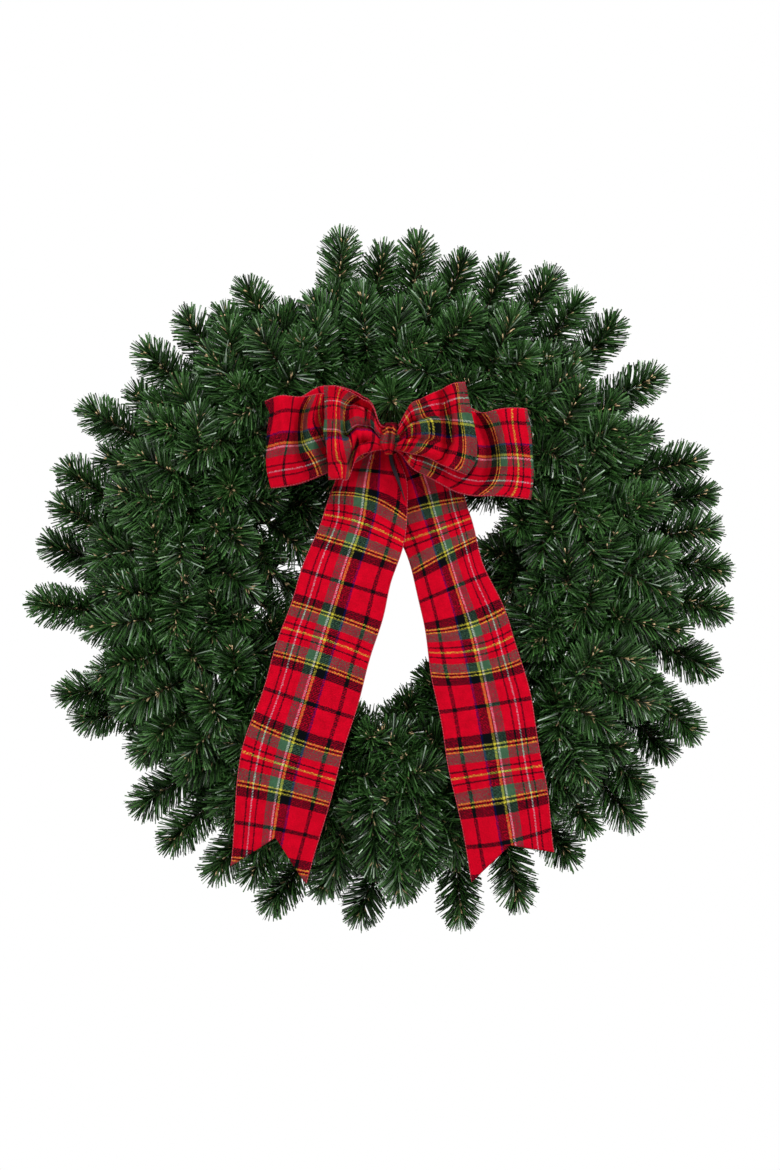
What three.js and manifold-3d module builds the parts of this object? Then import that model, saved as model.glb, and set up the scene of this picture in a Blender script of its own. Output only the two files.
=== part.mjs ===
// A holiday wreath: evergreen twigs hooked round a wire ring, with a tartan ribbon bow strapped to its top.
//
// Millimetres, +Z up. The wreath hangs in the XZ plane with its front towards -Y. The origin is the
// underside of the ring's wire at its top, where a nail or a door hook carries it.
//
// Every twig is a slim three-sided stem. At each whorl the six triangles round the stem are raised into
// pointed needles, so stem and needles are one closed surface. A needle that would cross another piece is
// swung clear, then shortened, and left out only when neither helps.
import * as THREE from "three";
import Module from "manifold-3d";
import { mergeVertices } from "three/addons/utils/BufferGeometryUtils.js";

const wasm = await Module();
wasm.setup();

// Driving dimensions
const RING_RADIUS = 205;
const WIRE_RADIUS = 2.3;
const RING_STEPS = 60;
const WIRE_SIDES = 6;
const SEAT_GAP = 0.4;
const STEM_RADIUS = 2;
const NEEDLE_LENGTH = 27;
const NEEDLE_RADIUS = 1.5;
const CLEARANCE = 0.45;
const BACK_PLANE = 22;
const TIP_NEEDLES = 20;
const RIBBON_WIDTH = 98;
const RIBBON_THICKNESS = 1;

// The tips that make the outline, anticlockwise from the right: angle in degrees, reach from the wreath's
// centre in mm, and how far the tip stands forward of the ring in mm.
const OUTLINE_TIPS = [
  [2, 380, 18], [9, 372, 34], [15, 378, 12], [21, 377, 30], [29, 345, 8], [37, 381, 24],
  [48, 389, 14], [55, 380, 38], [61, 390, 20], [69, 376, 32], [76, 372, 10], [84, 382, 26],
  [90, 370, 12], [97, 386, 28], [109, 318, 34], [115, 364, 16], [121, 350, 36], [127, 370, 10],
  [136, 372, 28], [143, 350, 14], [150, 382, 32], [156, 345, 8], [161, 377, 26], [167, 372, 36],
  [174, 379, 12], [184, 383, 78], [192, 305, 6], [200, 377, 34], [205, 374, 14], [214, 335, 28],
  [223, 375, 12], [231, 380, 30], [240, 381, 16], [246, 365, 36], [251, 388, 10], [259, 356, 26],
  [266, 381, 14], [274, 350, 32], [283, 392, 12], [293, 390, 30], [304, 377, 16], [310, 360, 36],
  [316, 389, 12], [321, 371, 28], [329, 374, 10], [334, 385, 34], [345, 378, 20], [355, 380, 36],
];
const TWIGS = OUTLINE_TIPS.length;

// A fixed pseudo-random draw from 0 to 1 for twig i, purpose k.
function draw(i, k) {
  const s = Math.sin(i * 12.9898 + k * 78.233) * 43758.5453;
  return s - Math.floor(s);
}
const spread = (i, k, reach) => (2 * draw(i, k) - 1) * reach;
const radians = (degrees) => (degrees * Math.PI) / 180;
const smooth = (t) => t * t * (3 - 2 * t);
const clamp01 = (t) => Math.min(1, Math.max(0, t));

// A point given by its angle round the wreath, its distance from the centre and its depth.
function polar(angle, radius, y) {
  return new THREE.Vector3(radius * Math.cos(angle), y, radius * Math.sin(angle));
}

// The bow: places are measured from the wreath's centre, with the knot as its middle.
const KNOT = { x: 5, y: -107.5, z: 149, halfWidth: 12, halfHeight: 18.5, halfDepth: 14 };
const KNOT_HOLE = { halfHeight: 14, halfDepth: 10 };
const GATHER_HALF = 10.5;
const GATHER_LENGTH = 44;

// Each loop: which side it is on, how far it reaches, the depth of its middle and of its two ends in the knot,
// its half depth, the rise of its outer end, how many folds cross it, and their size.
const LOOPS = {
  bow_loop_back_left: {
    side: -1, reach: 127, middle: -102, ends: [-105, -100], depth: 11, rise: -5,
    folds: 2.6, fold: 2.7, lean: 0.04, phase: 1.2,
  },
  bow_loop_back_right: {
    side: 1, reach: 151, middle: -102, ends: [-105, -100], depth: 11, rise: -16,
    folds: 2.2, fold: 2.8, lean: -0.06, phase: 0.2,
  },
  bow_loop_front_left: {
    side: -1, reach: 66, middle: -131, ends: [-114.6, -110], depth: 9.5, rise: 5,
    folds: 1.6, fold: 1.6, lean: 0.02, phase: 2.4,
  },
  bow_loop_front_right: {
    side: 1, reach: 88, middle: -131, ends: [-114.6, -110], depth: 9.5, rise: 10,
    folds: 1.8, fold: 1.6, lean: -0.05, phase: 0.8,
  },
};

// The mid-surface of a loop. u runs along the ribbon, out along the front and back along the rear; v runs
// across it from the lower edge to the upper, -1 to 1. The plan is a drop with its point in the knot.
function loopPoint(loop, u, v) {
  const out = (1 - Math.cos(2 * Math.PI * u)) / 2;
  const full = smooth(clamp01((loop.reach * out - KNOT.halfWidth - 1) / GATHER_LENGTH));
  const halfWidth = GATHER_HALF + (RIBBON_WIDTH / 2 - GATHER_HALF) * full;
  const x = KNOT.x + loop.side * (0.4 + loop.reach * out + v * halfWidth * loop.lean * full);
  const knotDepth = loop.ends[0] + (loop.ends[1] - loop.ends[0]) * smooth(u);
  const openDepth = loop.middle - loop.depth * Math.sin(2 * Math.PI * u);
  const wave = Math.sin(loop.folds * 2 * Math.PI * out + loop.phase + 0.7 * v) * loop.fold;
  const y = knotDepth + (openDepth - knotDepth) * full + wave * full * (1 - 0.6 * out);
  const z = KNOT.z + loop.rise * smooth(out) + v * halfWidth;
  return new THREE.Vector3(x, y, z);
}

// Each tail: the centre line as [x, z] on the way down, its half width there, the depth at the same points,
// how far the two corners of its swallowtail end reach past the notch, and how its edges turn.
const TAILS = {
  bow_tail_left: {
    x: [-8, -10.5, -18, -37, -56, -78, -99, -114],
    z: [146, 114, 65, 7, -53, -128, -207, -270],
    half: [8, 20, 42, 48, 49, 49, 47, 41],
    y: [-92.7, -90, -87, -85, -86, -91, -98, -101],
    corners: [27, 42],
    turn: -0.05,
  },
  bow_tail_right: {
    x: [19.5, 28.5, 57, 71, 91, 108, 122.5, 133.5],
    z: [146, 116, 62, 4, -62, -137, -217, -280],
    half: [8, 18, 36, 39, 45, 49, 48, 45],
    y: [-92.7, -88.4, -84, -82, -85, -91, -98, -101],
    corners: [31, 12],
    turn: -0.08,
  },
};

// A value read from a list at the place t, 0 to 1, along it, by a smooth curve through its entries.
function along(list, t) {
  const place = t * (list.length - 1);
  const i = Math.min(list.length - 2, Math.floor(place));
  const f = place - i;
  const [a, b, c, d] = [list[Math.max(0, i - 1)], list[i], list[i + 1], list[Math.min(list.length - 1, i + 2)]];
  return b + 0.5 * f * (c - a + f * (2 * a - 5 * b + 4 * c - d + f * (3 * (b - c) + d - a)));
}

// The mid-surface of a tail. The last stretch is longer towards the corners, which cuts the swallowtail.
function tailPoint(tail, u, v) {
  const x = along(tail.x, u);
  const z = along(tail.z, u);
  const step = 0.01;
  const [u0, u1] = [Math.max(0, u - step), Math.min(1, u + step)];
  const down = new THREE.Vector2(along(tail.x, u1) - along(tail.x, u0), along(tail.z, u1) - along(tail.z, u0));
  down.normalize();
  const half = along(tail.half, u);
  const corner = v < 0 ? tail.corners[0] : tail.corners[1];
  const cut = corner * Math.abs(v) * clamp01((u - 0.86) / 0.14);
  const roll = tail.turn * v * half * smooth(clamp01(u / 0.3));
  const wave = 2.2 * Math.sin(9 * u + 1.4 * v) * smooth(clamp01((u - 0.1) / 0.3));
  return new THREE.Vector3(
    x - down.y * v * half + down.x * cut,
    along(tail.y, u) + roll + wave,
    z + down.x * v * half + down.y * cut,
  );
}

// A thin closed solid round the mid-surface point(u, v): both faces are cut into the same triangles, and
// walls join them along the four edges.
function sheet(point, stepsAlong, stepsAcross, thickness) {
  const positions = [];
  const index = [];
  const columns = stepsAcross + 1;
  const layer = (stepsAlong + 1) * columns;
  const reach = 1e-3;
  for (const side of [1, -1]) {
    for (let i = 0; i <= stepsAlong; i++) {
      for (let j = 0; j <= stepsAcross; j++) {
        const [u, v] = [i / stepsAlong, (2 * j) / stepsAcross - 1];
        const [u0, u1] = [Math.max(0, u - reach), Math.min(1, u + reach)];
        const [v0, v1] = [Math.max(-1, v - reach), Math.min(1, v + reach)];
        const du = point(u1, v).sub(point(u0, v));
        const dv = point(u, v1).sub(point(u, v0));
        const normal = du.cross(dv).normalize();
        const p = point(u, v).addScaledVector(normal, (side * thickness) / 2);
        positions.push(p.x, p.y, p.z);
      }
    }
  }
  const quad = (a, b, c, d) => index.push(a, b, c, a, c, d);
  for (let i = 0; i < stepsAlong; i++) {
    for (let j = 0; j < stepsAcross; j++) {
      const a = i * columns + j;
      const [b, c, d] = [a + columns, a + columns + 1, a + 1];
      quad(a, b, c, d);
      quad(layer + a, layer + d, layer + c, layer + b);
    }
  }
  for (let i = 0; i < stepsAlong; i++) {
    const [low, high] = [i * columns, (i + 1) * columns];
    quad(low, layer + low, layer + high, high);
    quad(low + stepsAcross, high + stepsAcross, layer + high + stepsAcross, layer + low + stepsAcross);
  }
  const last = stepsAlong * columns;
  for (let j = 0; j < stepsAcross; j++) {
    quad(j, j + 1, layer + j + 1, layer + j);
    quad(last + j, layer + last + j, layer + last + j + 1, last + j + 1);
  }
  return new THREE.BufferGeometry()
    .setAttribute("position", new THREE.Float32BufferAttribute(positions, 3))
    .setIndex(index);
}

const LOOP_STEPS = [20, 5];
const TAIL_STEPS = [16, 6];

const ribbons = {};
for (const [name, loop] of Object.entries(LOOPS)) {
  ribbons[name] = (u, v) => loopPoint(loop, u, v);
}
for (const [name, tail] of Object.entries(TAILS)) {
  ribbons[name] = (u, v) => tailPoint(tail, u, v);
}

// The knot: a short band of ribbon round the gathered loops, swollen in the middle and open at both sides.
function knotGeometry() {
  const around = 16;
  const profile = [[-1, 0.86], [-0.55, 1], [0, 0.94], [0.55, 1], [1, 0.86]];
  const rings = profile.map(([x, swell]) => [x, KNOT.halfHeight * swell, KNOT.halfDepth * swell]);
  rings.push([1, KNOT_HOLE.halfHeight, KNOT_HOLE.halfDepth], [-1, KNOT_HOLE.halfHeight, KNOT_HOLE.halfDepth]);
  const positions = [];
  const index = [];
  // Corners are rounded boxes: a superellipse with this power.
  const square = 0.62;
  const rounded = (value) => Math.sign(value) * Math.abs(value) ** square;
  for (const [x, halfHeight, halfDepth] of rings) {
    for (let k = 0; k < around; k++) {
      const angle = ((k + 0.5) / around) * 2 * Math.PI;
      positions.push(
        KNOT.x + x * KNOT.halfWidth,
        KNOT.y + halfDepth * rounded(Math.cos(angle)),
        KNOT.z + halfHeight * rounded(Math.sin(angle)),
      );
    }
  }
  for (let r = 0; r < rings.length; r++) {
    for (let k = 0; k < around; k++) {
      const next = (r + 1) % rings.length;
      const [a, b] = [r * around + k, r * around + ((k + 1) % around)];
      const [c, d] = [next * around + ((k + 1) % around), next * around + k];
      index.push(a, b, c, a, c, d);
    }
  }
  return new THREE.BufferGeometry()
    .setAttribute("position", new THREE.Float32BufferAttribute(positions, 3))
    .setIndex(index);
}

// The strap that holds the bow: from its free end on the tails, up behind the knot and over the ring.
const STRAP = { width: 4, thickness: 1.2, x: 7.5 };
const KNOT_BACK = KNOT.y + KNOT.halfDepth;
const STRAP_Y = KNOT_BACK + 0.4 + STRAP.thickness / 2;
const HOOK = WIRE_RADIUS + 0.9 + STRAP.thickness / 2;
const HOOK_TURNS = [-30, 0, 30, 60, 90, 120, 150, 180];
const STRAP_LINE = [
  [23, -92.6, 84], [19, -92.8, 96], [14, -92.9, 110], [9, STRAP_Y, 124], [STRAP.x, STRAP_Y, 138],
  [STRAP.x, STRAP_Y, 152], [STRAP.x, STRAP_Y, 163], [STRAP.x, STRAP_Y + 6, 174], [STRAP.x, -62, 192],
  [STRAP.x, -30, 204],
  ...HOOK_TURNS.map((turn) => [
    STRAP.x, HOOK * Math.sin(radians(turn)), RING_RADIUS + HOOK * Math.cos(radians(turn)),
  ]),
  [STRAP.x, -12, RING_RADIUS - HOOK - 1],
].map(([x, y, z]) => new THREE.Vector3(x, y, z));

function strapGeometry() {
  const { width, thickness } = STRAP;
  const section = new THREE.Shape();
  section.moveTo(-thickness / 2, -width / 2);
  section.lineTo(thickness / 2, -width / 2);
  section.lineTo(thickness / 2, width / 2);
  section.lineTo(-thickness / 2, width / 2);
  const path = new THREE.CatmullRomCurve3(STRAP_LINE);
  return new THREE.ExtrudeGeometry(section, { steps: 40, bevelEnabled: false, extrudePath: path });
}

// Everything that a needle has to clear: tapered rods of stem, needle and strap, and balls along the ribbon.
const rods = [];
const balls = [];

function addRod(a, b, radiusA, radiusB, owner) {
  rods.push({
    a, b, radiusA, radiusB, owner,
    middle: a.clone().add(b).multiplyScalar(0.5),
    half: a.distanceTo(b) / 2 + Math.max(radiusA, radiusB),
  });
}

// The least gap between two tapered rods, from the closest points of their centre lines.
function rodGap(p, q) {
  const d1 = q.b.clone().sub(q.a);
  const d2 = p.b.clone().sub(p.a);
  const r = q.a.clone().sub(p.a);
  const [a, e, f] = [d1.dot(d1), d2.dot(d2), d2.dot(r)];
  const [b, c] = [d1.dot(d2), d1.dot(r)];
  const denominator = a * e - b * b;
  let s = denominator > 1e-9 ? clamp01((b * f - c * e) / denominator) : 0;
  let t = (b * s + f) / e;
  if (t < 0 || t > 1) {
    t = clamp01(t);
    s = clamp01((b * t - c) / a);
  }
  const onQ = q.a.clone().addScaledVector(d1, s);
  const onP = p.a.clone().addScaledVector(d2, t);
  const radii = q.radiusA + (q.radiusB - q.radiusA) * s + p.radiusA + (p.radiusB - p.radiusA) * t;
  return onQ.distanceTo(onP) - radii;
}

const RIBBON_CLEARANCE = 4.5;
for (const point of Object.values(ribbons)) {
  for (let i = 0; i <= 40; i++) {
    for (let j = 0; j <= 16; j++) {
      balls.push(point(i / 40, j / 8 - 1));
    }
  }
}

function ballGap(rod, centre) {
  const line = rod.b.clone().sub(rod.a);
  const t = clamp01(centre.clone().sub(rod.a).dot(line) / line.lengthSq());
  return rod.a.clone().addScaledVector(line, t).distanceTo(centre);
}

// How far forward foliage may stand at a place seen from the front: behind the bow and its tails it is pressed back.
const FRONT_PLANE = -104;
const BEHIND_LOOPS = -84;
const BEHIND_TAILS = -76;
function frontLimit(x, z) {
  let limit = FRONT_PLANE;
  if (Math.abs(x - KNOT.x - 10) < 165 && z > KNOT.z - 62 && z < KNOT.z + 62) {
    limit = BEHIND_LOOPS;
  }
  for (const tail of Object.values(TAILS)) {
    for (let t = 0; t <= 1; t += 0.05) {
      const reach = along(tail.half, t) + 14;
      if (Math.hypot(x - along(tail.x, t), z - along(tail.z, t)) < reach) {
        limit = BEHIND_TAILS;
      }
    }
  }
  return limit;
}

// The stem's line through its control points, cut into rings. A whorl is a pair of rings a band apart.
const BAND = 2.1;
function twigRings(controls, whorlPlaces) {
  const curve = new THREE.CatmullRomCurve3(controls, false, "centripetal");
  curve.arcLengthDivisions = 400;
  const length = curve.getLength();
  const places = [...whorlPlaces(length)].sort((p, q) => p.at - q.at);
  const rings = [];
  for (const place of places) {
    rings.push({ at: place.at / length, whorl: place.whorl || 0 });
    if (place.whorl) {
      rings.push({ at: (place.at + BAND) / length, whorl: 0 });
    }
  }
  for (const ring of rings) {
    ring.centre = curve.getPointAt(clamp01(ring.at));
    ring.tangent = curve.getTangentAt(clamp01(ring.at));
  }
  return rings;
}

// Turns the rings' frames along the stem without twist, then gives each whorl a turn of its own.
function frameRings(rings, seed) {
  const across = new THREE.Vector3(0.31, -0.87, 0.38).cross(rings[0].tangent).normalize();
  let turn = draw(seed, 11) * 2;
  for (const ring of rings) {
    across.addScaledVector(ring.tangent, -across.dot(ring.tangent)).normalize();
    ring.across = across.clone();
    ring.up = ring.tangent.clone().cross(across).normalize();
    ring.turn = turn;
    turn += ring.whorl ? 0 : 0.55;
  }
  // Both rings of a whorl share one turn, so that its band is not twisted.
  rings.forEach((ring, k) => {
    if (ring.whorl) {
      rings[k + 1].turn = ring.turn;
    }
  });
}

function radial(ring, angle) {
  return ring.across.clone().multiplyScalar(Math.cos(angle)).addScaledVector(ring.up, Math.sin(angle));
}

// The nudges tried on a needle that is in the way of something: [turn, lean] in radians and share of length.
const NUDGES = [
  [0, 0, 1], [0, 0.14, 1], [0.16, 0, 1], [-0.16, 0, 1], [0, -0.14, 1], [0.22, 0.2, 1], [-0.22, 0.2, 1],
  [0.22, -0.2, 0.94], [-0.22, -0.2, 0.94], [0, 0.3, 0.9], [0.34, 0, 0.85], [-0.34, 0, 0.85], [0, -0.3, 0.85],
  [0, 0, 0.7], [0.2, 0.15, 0.65], [-0.2, 0.15, 0.65], [0, 0, 0.5],
];

function isClear(rod, whorlKey) {
  if (rod.b.y > BACK_PLANE) {
    return false;
  }
  if (rod.b.y < frontLimit(rod.b.x, rod.b.z)) {
    return false;
  }
  for (const other of rods) {
    if (other.owner === whorlKey || other.owner === whorlKey.stem) {
      continue;
    }
    if (other.middle.distanceTo(rod.middle) > other.half + rod.half + CLEARANCE) {
      continue;
    }
    if (rodGap(rod, other) < CLEARANCE) {
      return false;
    }
  }
  for (const ball of balls) {
    if (ball.distanceTo(rod.middle) < rod.half + RIBBON_CLEARANCE && ballGap(rod, ball) < RIBBON_CLEARANCE) {
      return false;
    }
  }
  return true;
}

// Finds where the point of one needle goes, or null when no nudge clears it.
function needlePoint(base, ring, sign, angle, lean, length, whorlKey) {
  for (const [turn, tilt, share] of NUDGES) {
    const leaning = Math.min(1.35, Math.max(0.3, lean + tilt));
    const direction = radial(ring, angle + turn).multiplyScalar(Math.sin(leaning));
    direction.addScaledVector(ring.tangent, sign * Math.cos(leaning));
    const start = base.clone().addScaledVector(direction, 1.5);
    const point = base.clone().addScaledVector(direction, length * share);
    const rod = {
      a: start, b: point, radiusA: NEEDLE_RADIUS, radiusB: 0.1,
      middle: start.clone().add(point).multiplyScalar(0.5),
      half: start.distanceTo(point) / 2 + NEEDLE_RADIUS,
    };
    if (isClear(rod, whorlKey)) {
      addRod(start, point, NEEDLE_RADIUS, 0.1, whorlKey);
      return point;
    }
  }
  return null;
}

// The mesh of a twig. Each triangle of a whorl's band, and of the two ends, is raised to a needle.
function twigMesh(rings, seed) {
  const positions = [];
  const triangles = [];
  const add = (p) => positions.push(p.x, p.y, p.z) / 3 - 1;
  const corner = (i) => new THREE.Vector3().fromArray(positions, 3 * i);
  rings.forEach((ring) => {
    ring.first = positions.length / 3;
    for (let k = 0; k < 3; k++) {
      const angle = ring.turn + (k * 2 * Math.PI) / 3;
      add(ring.centre.clone().addScaledVector(radial(ring, angle), STEM_RADIUS));
    }
  });
  const centroid = (a, b, c) => corner(a).add(corner(b)).add(corner(c)).divideScalar(3);
  const raise = (a, b, c, point) => {
    if (point) {
      const top = add(point);
      triangles.push(a, b, top, b, c, top, c, a, top);
    } else {
      triangles.push(a, b, c);
    }
  };
  rings.slice(0, -1).forEach((ring, i) => {
    const next = rings[i + 1];
    const whorlKey = { stem: rings.stem };
    for (let k = 0; k < 3; k++) {
      const [a, b] = [ring.first + k, ring.first + ((k + 1) % 3)];
      const [c, d] = [next.first + ((k + 1) % 3), next.first + k];
      if (!ring.whorl) {
        triangles.push(a, b, c, a, c, d);
        continue;
      }
      const facing = ring.turn + ((k + 0.5) * 2 * Math.PI) / 3;
      const number = seed * 97 + i * 7 + k;
      const sign = ring.whorl;
      const isLast = i <= 1 || i >= rings.length - 3;
      const leans = isLast ? [0.85, 0.5] : [1.08, 0.78];
      const length = (isLast ? 0.92 : 1) * NEEDLE_LENGTH;
      const lower = centroid(a, b, c);
      const upper = centroid(a, c, d);
      const first = sign > 0 ? leans[0] : leans[1];
      const second = sign > 0 ? leans[1] : leans[0];
      raise(a, b, c, needlePoint(
        lower, ring, sign, facing + 0.5 + spread(number, 1, 0.16), first + spread(number, 2, 0.12),
        length * (1 + spread(number, 3, 0.1)), whorlKey,
      ));
      raise(a, c, d, needlePoint(
        upper, ring, sign, facing - 0.5 + spread(number, 4, 0.16), second + spread(number, 5, 0.12),
        length * (1 + spread(number, 6, 0.1)), whorlKey,
      ));
    }
  });
  const [start, end] = [rings[0], rings[rings.length - 1]];
  const point = (ring, sign) => ring.centre.clone().addScaledVector(ring.tangent, sign * TIP_NEEDLES);
  const [s, e] = [start.first, end.first];
  raise(s + 2, s + 1, s, rings.openStart ? null : point(start, -1));
  raise(e, e + 1, e + 2, point(end, 1));
  return new wasm.Manifold(new wasm.Mesh({
    numProp: 3,
    vertProperties: new Float32Array(positions),
    triVerts: new Uint32Array(triangles),
  }));
}

// Places of the whorls on a twig, from the ring outwards: first and last whorl, and how many.
function whorls(from, to, count, sign) {
  const list = [];
  for (let k = 0; k < count; k++) {
    list.push({ at: from + ((to - from) * k) / (count - 1), whorl: sign });
  }
  return list;
}

const OUTER_WHORLS = 5;
const SHORT_WHORLS = 3;
const END_BAND = 3;
const SEAT = WIRE_RADIUS + STEM_RADIUS + SEAT_GAP;

// The control points of one sprig's stems. Its outward stem crosses behind the ring and goes on: inwards on
// even sprigs, round the inside of the wire and forwards on odd ones. Even sprigs carry a second stem, which
// comes round the outside of the wire and stands forwards and outwards.
function sprigStems(i) {
  const [angleDegrees, reach, forward] = OUTLINE_TIPS[i];
  const seatAngle = radians(((i + 0.5) * 360) / TWIGS);
  const tipAngle = radians(angleDegrees);
  const outEnd = polar(tipAngle, reach - TIP_NEEDLES, -forward);
  const outMiddle = polar(
    seatAngle * 0.6 + tipAngle * 0.4 + spread(i, 9, 0.04), RING_RADIUS + 62, 1 - forward * 0.25 + spread(i, 1, 4),
  );
  const behind = polar(seatAngle, RING_RADIUS, SEAT);
  const stems = [];
  const press = (end) => {
    end.y = Math.max(end.y, frontLimit(end.x, end.z) + 27);
    return end;
  };
  if (i % 2 === 0) {
    const inEnd = polar(seatAngle + spread(i, 2, 0.08), 138 + spread(i, 3, 5), -12 - 22 * draw(i, 4));
    stems.push({
      seed: i,
      controls: [outEnd, outMiddle, polar(seatAngle, RING_RADIUS + 9, SEAT), behind,
        polar(seatAngle, RING_RADIUS - 9, SEAT), inEnd],
      outer: true,
      hooked: false,
    });
    const frontEnd = press(polar(seatAngle + spread(i, 15, 0.11), 258 + spread(i, 6, 32), -62 - 20 * draw(i, 7)));
    stems.push({
      seed: i + 200,
      controls: [polar(seatAngle, RING_RADIUS - 1, SEAT), polar(seatAngle, RING_RADIUS + SEAT * 0.72, SEAT * 0.72),
        polar(seatAngle, RING_RADIUS + SEAT + 0.4, -1),
        polar(seatAngle, RING_RADIUS + 20 + spread(i, 8, 6), frontEnd.y * 0.42), frontEnd],
      outer: false,
    });
  } else {
    const frontEnd = press(polar(seatAngle + spread(i, 15, 0.12), 171 + spread(i, 6, 20), -64 - 22 * draw(i, 7)));
    stems.push({
      seed: i,
      controls: [outEnd, outMiddle, polar(seatAngle, RING_RADIUS + 9, SEAT), behind,
        polar(seatAngle, RING_RADIUS - SEAT * 0.72, SEAT * 0.72), polar(seatAngle, RING_RADIUS - SEAT - 0.4, -1),
        polar(seatAngle, RING_RADIUS - 12 + spread(i, 8, 4), frontEnd.y * 0.4), frontEnd],
      outer: true,
      hooked: true,
    });
  }
  return stems;
}

// Where the rings of a stem go: bare rings hold the bend round the wire, whorls carry the needles.
function stemRings(stem) {
  const curve = new THREE.CatmullRomCurve3(stem.controls, false, "centripetal");
  curve.arcLengthDivisions = 400;
  const lengths = curve.getLengths(400);
  const controlAt = (k) => lengths[Math.round((400 * k) / (stem.controls.length - 1))];
  const rings = twigRings(stem.controls, (length) => {
    const places = [];
    if (stem.outer) {
      const seat = controlAt(3);
      places.push(...whorls(0, seat - 38, OUTER_WHORLS, -1));
      places.push({ at: seat - 9 }, { at: seat });
      if (stem.hooked) {
        places.push({ at: controlAt(4) }, { at: controlAt(5) });
      } else {
        places.push({ at: seat + 9 });
      }
      const from = stem.hooked ? controlAt(5) + 22 : seat + 26;
      places.push(...whorls(from, length - END_BAND + 0.8, SHORT_WHORLS, 1));
    } else {
      places.push({ at: 0 }, { at: controlAt(1) }, { at: controlAt(2) });
      places.push(...whorls(controlAt(2) + 24, length - END_BAND + 0.8, SHORT_WHORLS, 1));
    }
    return places;
  });
  rings.openStart = !stem.outer;
  rings.stem = `stem ${stem.seed}`;
  return rings;
}

// All stems are placed first, so that each needle can keep clear of every one of them.
const sprigs = [];
for (let i = 0; i < TWIGS; i++) {
  sprigs.push(sprigStems(i).map((stem) => ({ stem, rings: stemRings(stem) })));
}
for (const { stem, rings } of sprigs.flat()) {
  frameRings(rings, stem.seed);
  for (let k = 0; k + 1 < rings.length; k++) {
    addRod(rings[k].centre, rings[k + 1].centre, STEM_RADIUS, STEM_RADIUS, rings.stem);
  }
}
for (let k = 0; k < RING_STEPS; k++) {
  const [from, to] = [k, k + 1].map((n) => polar((2 * Math.PI * n) / RING_STEPS, RING_RADIUS, 0));
  addRod(from, to, WIRE_RADIUS, WIRE_RADIUS, "ring");
}
const NAIL_ROOM = 5;
addRod(polar(Math.PI / 2, RING_RADIUS, 4), polar(Math.PI / 2, RING_RADIUS, 20), NAIL_ROOM, NAIL_ROOM, "nail");
for (let k = 0; k + 1 < STRAP_LINE.length; k++) {
  addRod(STRAP_LINE[k], STRAP_LINE[k + 1], STRAP.width / 2 + 0.6, STRAP.width / 2 + 0.6, "strap");
}

const tinsel = new THREE.MeshStandardMaterial({ color: 0x1f4a2b, roughness: 0.5, metalness: 0 });
const wirePaint = new THREE.MeshStandardMaterial({ color: 0x23402b, roughness: 0.45, metalness: 0.4 });
const tartan = new THREE.MeshStandardMaterial({ color: 0xb8142a, roughness: 0.9, metalness: 0 });
const strapPlastic = new THREE.MeshStandardMaterial({ color: 0x33292c, roughness: 0.5, metalness: 0 });

function geometryOf(solid) {
  const mesh = solid.getMesh();
  const count = mesh.numProp;
  const positions = new Float32Array(mesh.numVert * 3);
  for (let i = 0; i < mesh.numVert; i++) {
    positions.set(mesh.vertProperties.subarray(i * count, i * count + 3), i * 3);
  }
  return new THREE.BufferGeometry()
    .setAttribute("position", new THREE.BufferAttribute(positions, 3))
    .setIndex(new THREE.BufferAttribute(mesh.triVerts, 1));
}

const wreath = new THREE.Group();

function place(name, geometry, material) {
  const flat = geometry.getAttribute("normal") || geometry.getAttribute("uv") ? geometry.clone() : geometry;
  flat.deleteAttribute("normal");
  flat.deleteAttribute("uv");
  const closed = mergeVertices(flat, 1e-4);
  closed.computeVertexNormals();
  const mesh = new THREE.Mesh(closed, material);
  mesh.name = name;
  wreath.add(mesh);
}

const wire = new THREE.TorusGeometry(RING_RADIUS, WIRE_RADIUS, WIRE_SIDES, RING_STEPS).rotateX(Math.PI / 2);
place("ring", wire, wirePaint);

sprigs.forEach((stems, i) => {
  const [solid] = stems
    .map(({ stem, rings }) => twigMesh(rings, stem.seed))
    .reduce((whole, next) => whole.add(next))
    .decompose()
    .sort((p, q) => q.volume() - p.volume());
  place(`sprig_${String(i + 1).padStart(2, "0")}`, geometryOf(solid), tinsel);
});

for (const name of Object.keys(LOOPS)) {
  place(name, sheet(ribbons[name], ...LOOP_STEPS, RIBBON_THICKNESS), tartan);
}
for (const name of Object.keys(TAILS)) {
  place(name, sheet(ribbons[name], ...TAIL_STEPS, RIBBON_THICKNESS), tartan);
}
place("bow_knot", knotGeometry(), tartan);
place("bow_strap", strapGeometry(), strapPlastic);

// The part's frame has its origin under the top of the ring's wire.
wreath.position.z = -(RING_RADIUS - WIRE_RADIUS);
const part = new THREE.Group();
part.add(wreath);

export default part;
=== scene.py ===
import bpy
import numpy as np
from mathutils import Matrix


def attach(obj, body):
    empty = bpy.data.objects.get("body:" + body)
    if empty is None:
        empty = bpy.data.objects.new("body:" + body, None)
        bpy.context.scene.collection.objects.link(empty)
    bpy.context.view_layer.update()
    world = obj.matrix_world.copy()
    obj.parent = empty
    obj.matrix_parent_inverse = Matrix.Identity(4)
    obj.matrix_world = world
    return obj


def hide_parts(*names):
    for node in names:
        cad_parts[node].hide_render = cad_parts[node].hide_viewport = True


# A holiday wreath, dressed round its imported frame: film needles on twisted wire twigs, a painted ring, and a
# brushed tartan bow. Lengths are millimetres from the wreath's centre, +X right, +Z up, the front to -Y.
# make_piece moves them into the frame, whose origin is under the ring's wire at its top.

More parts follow.
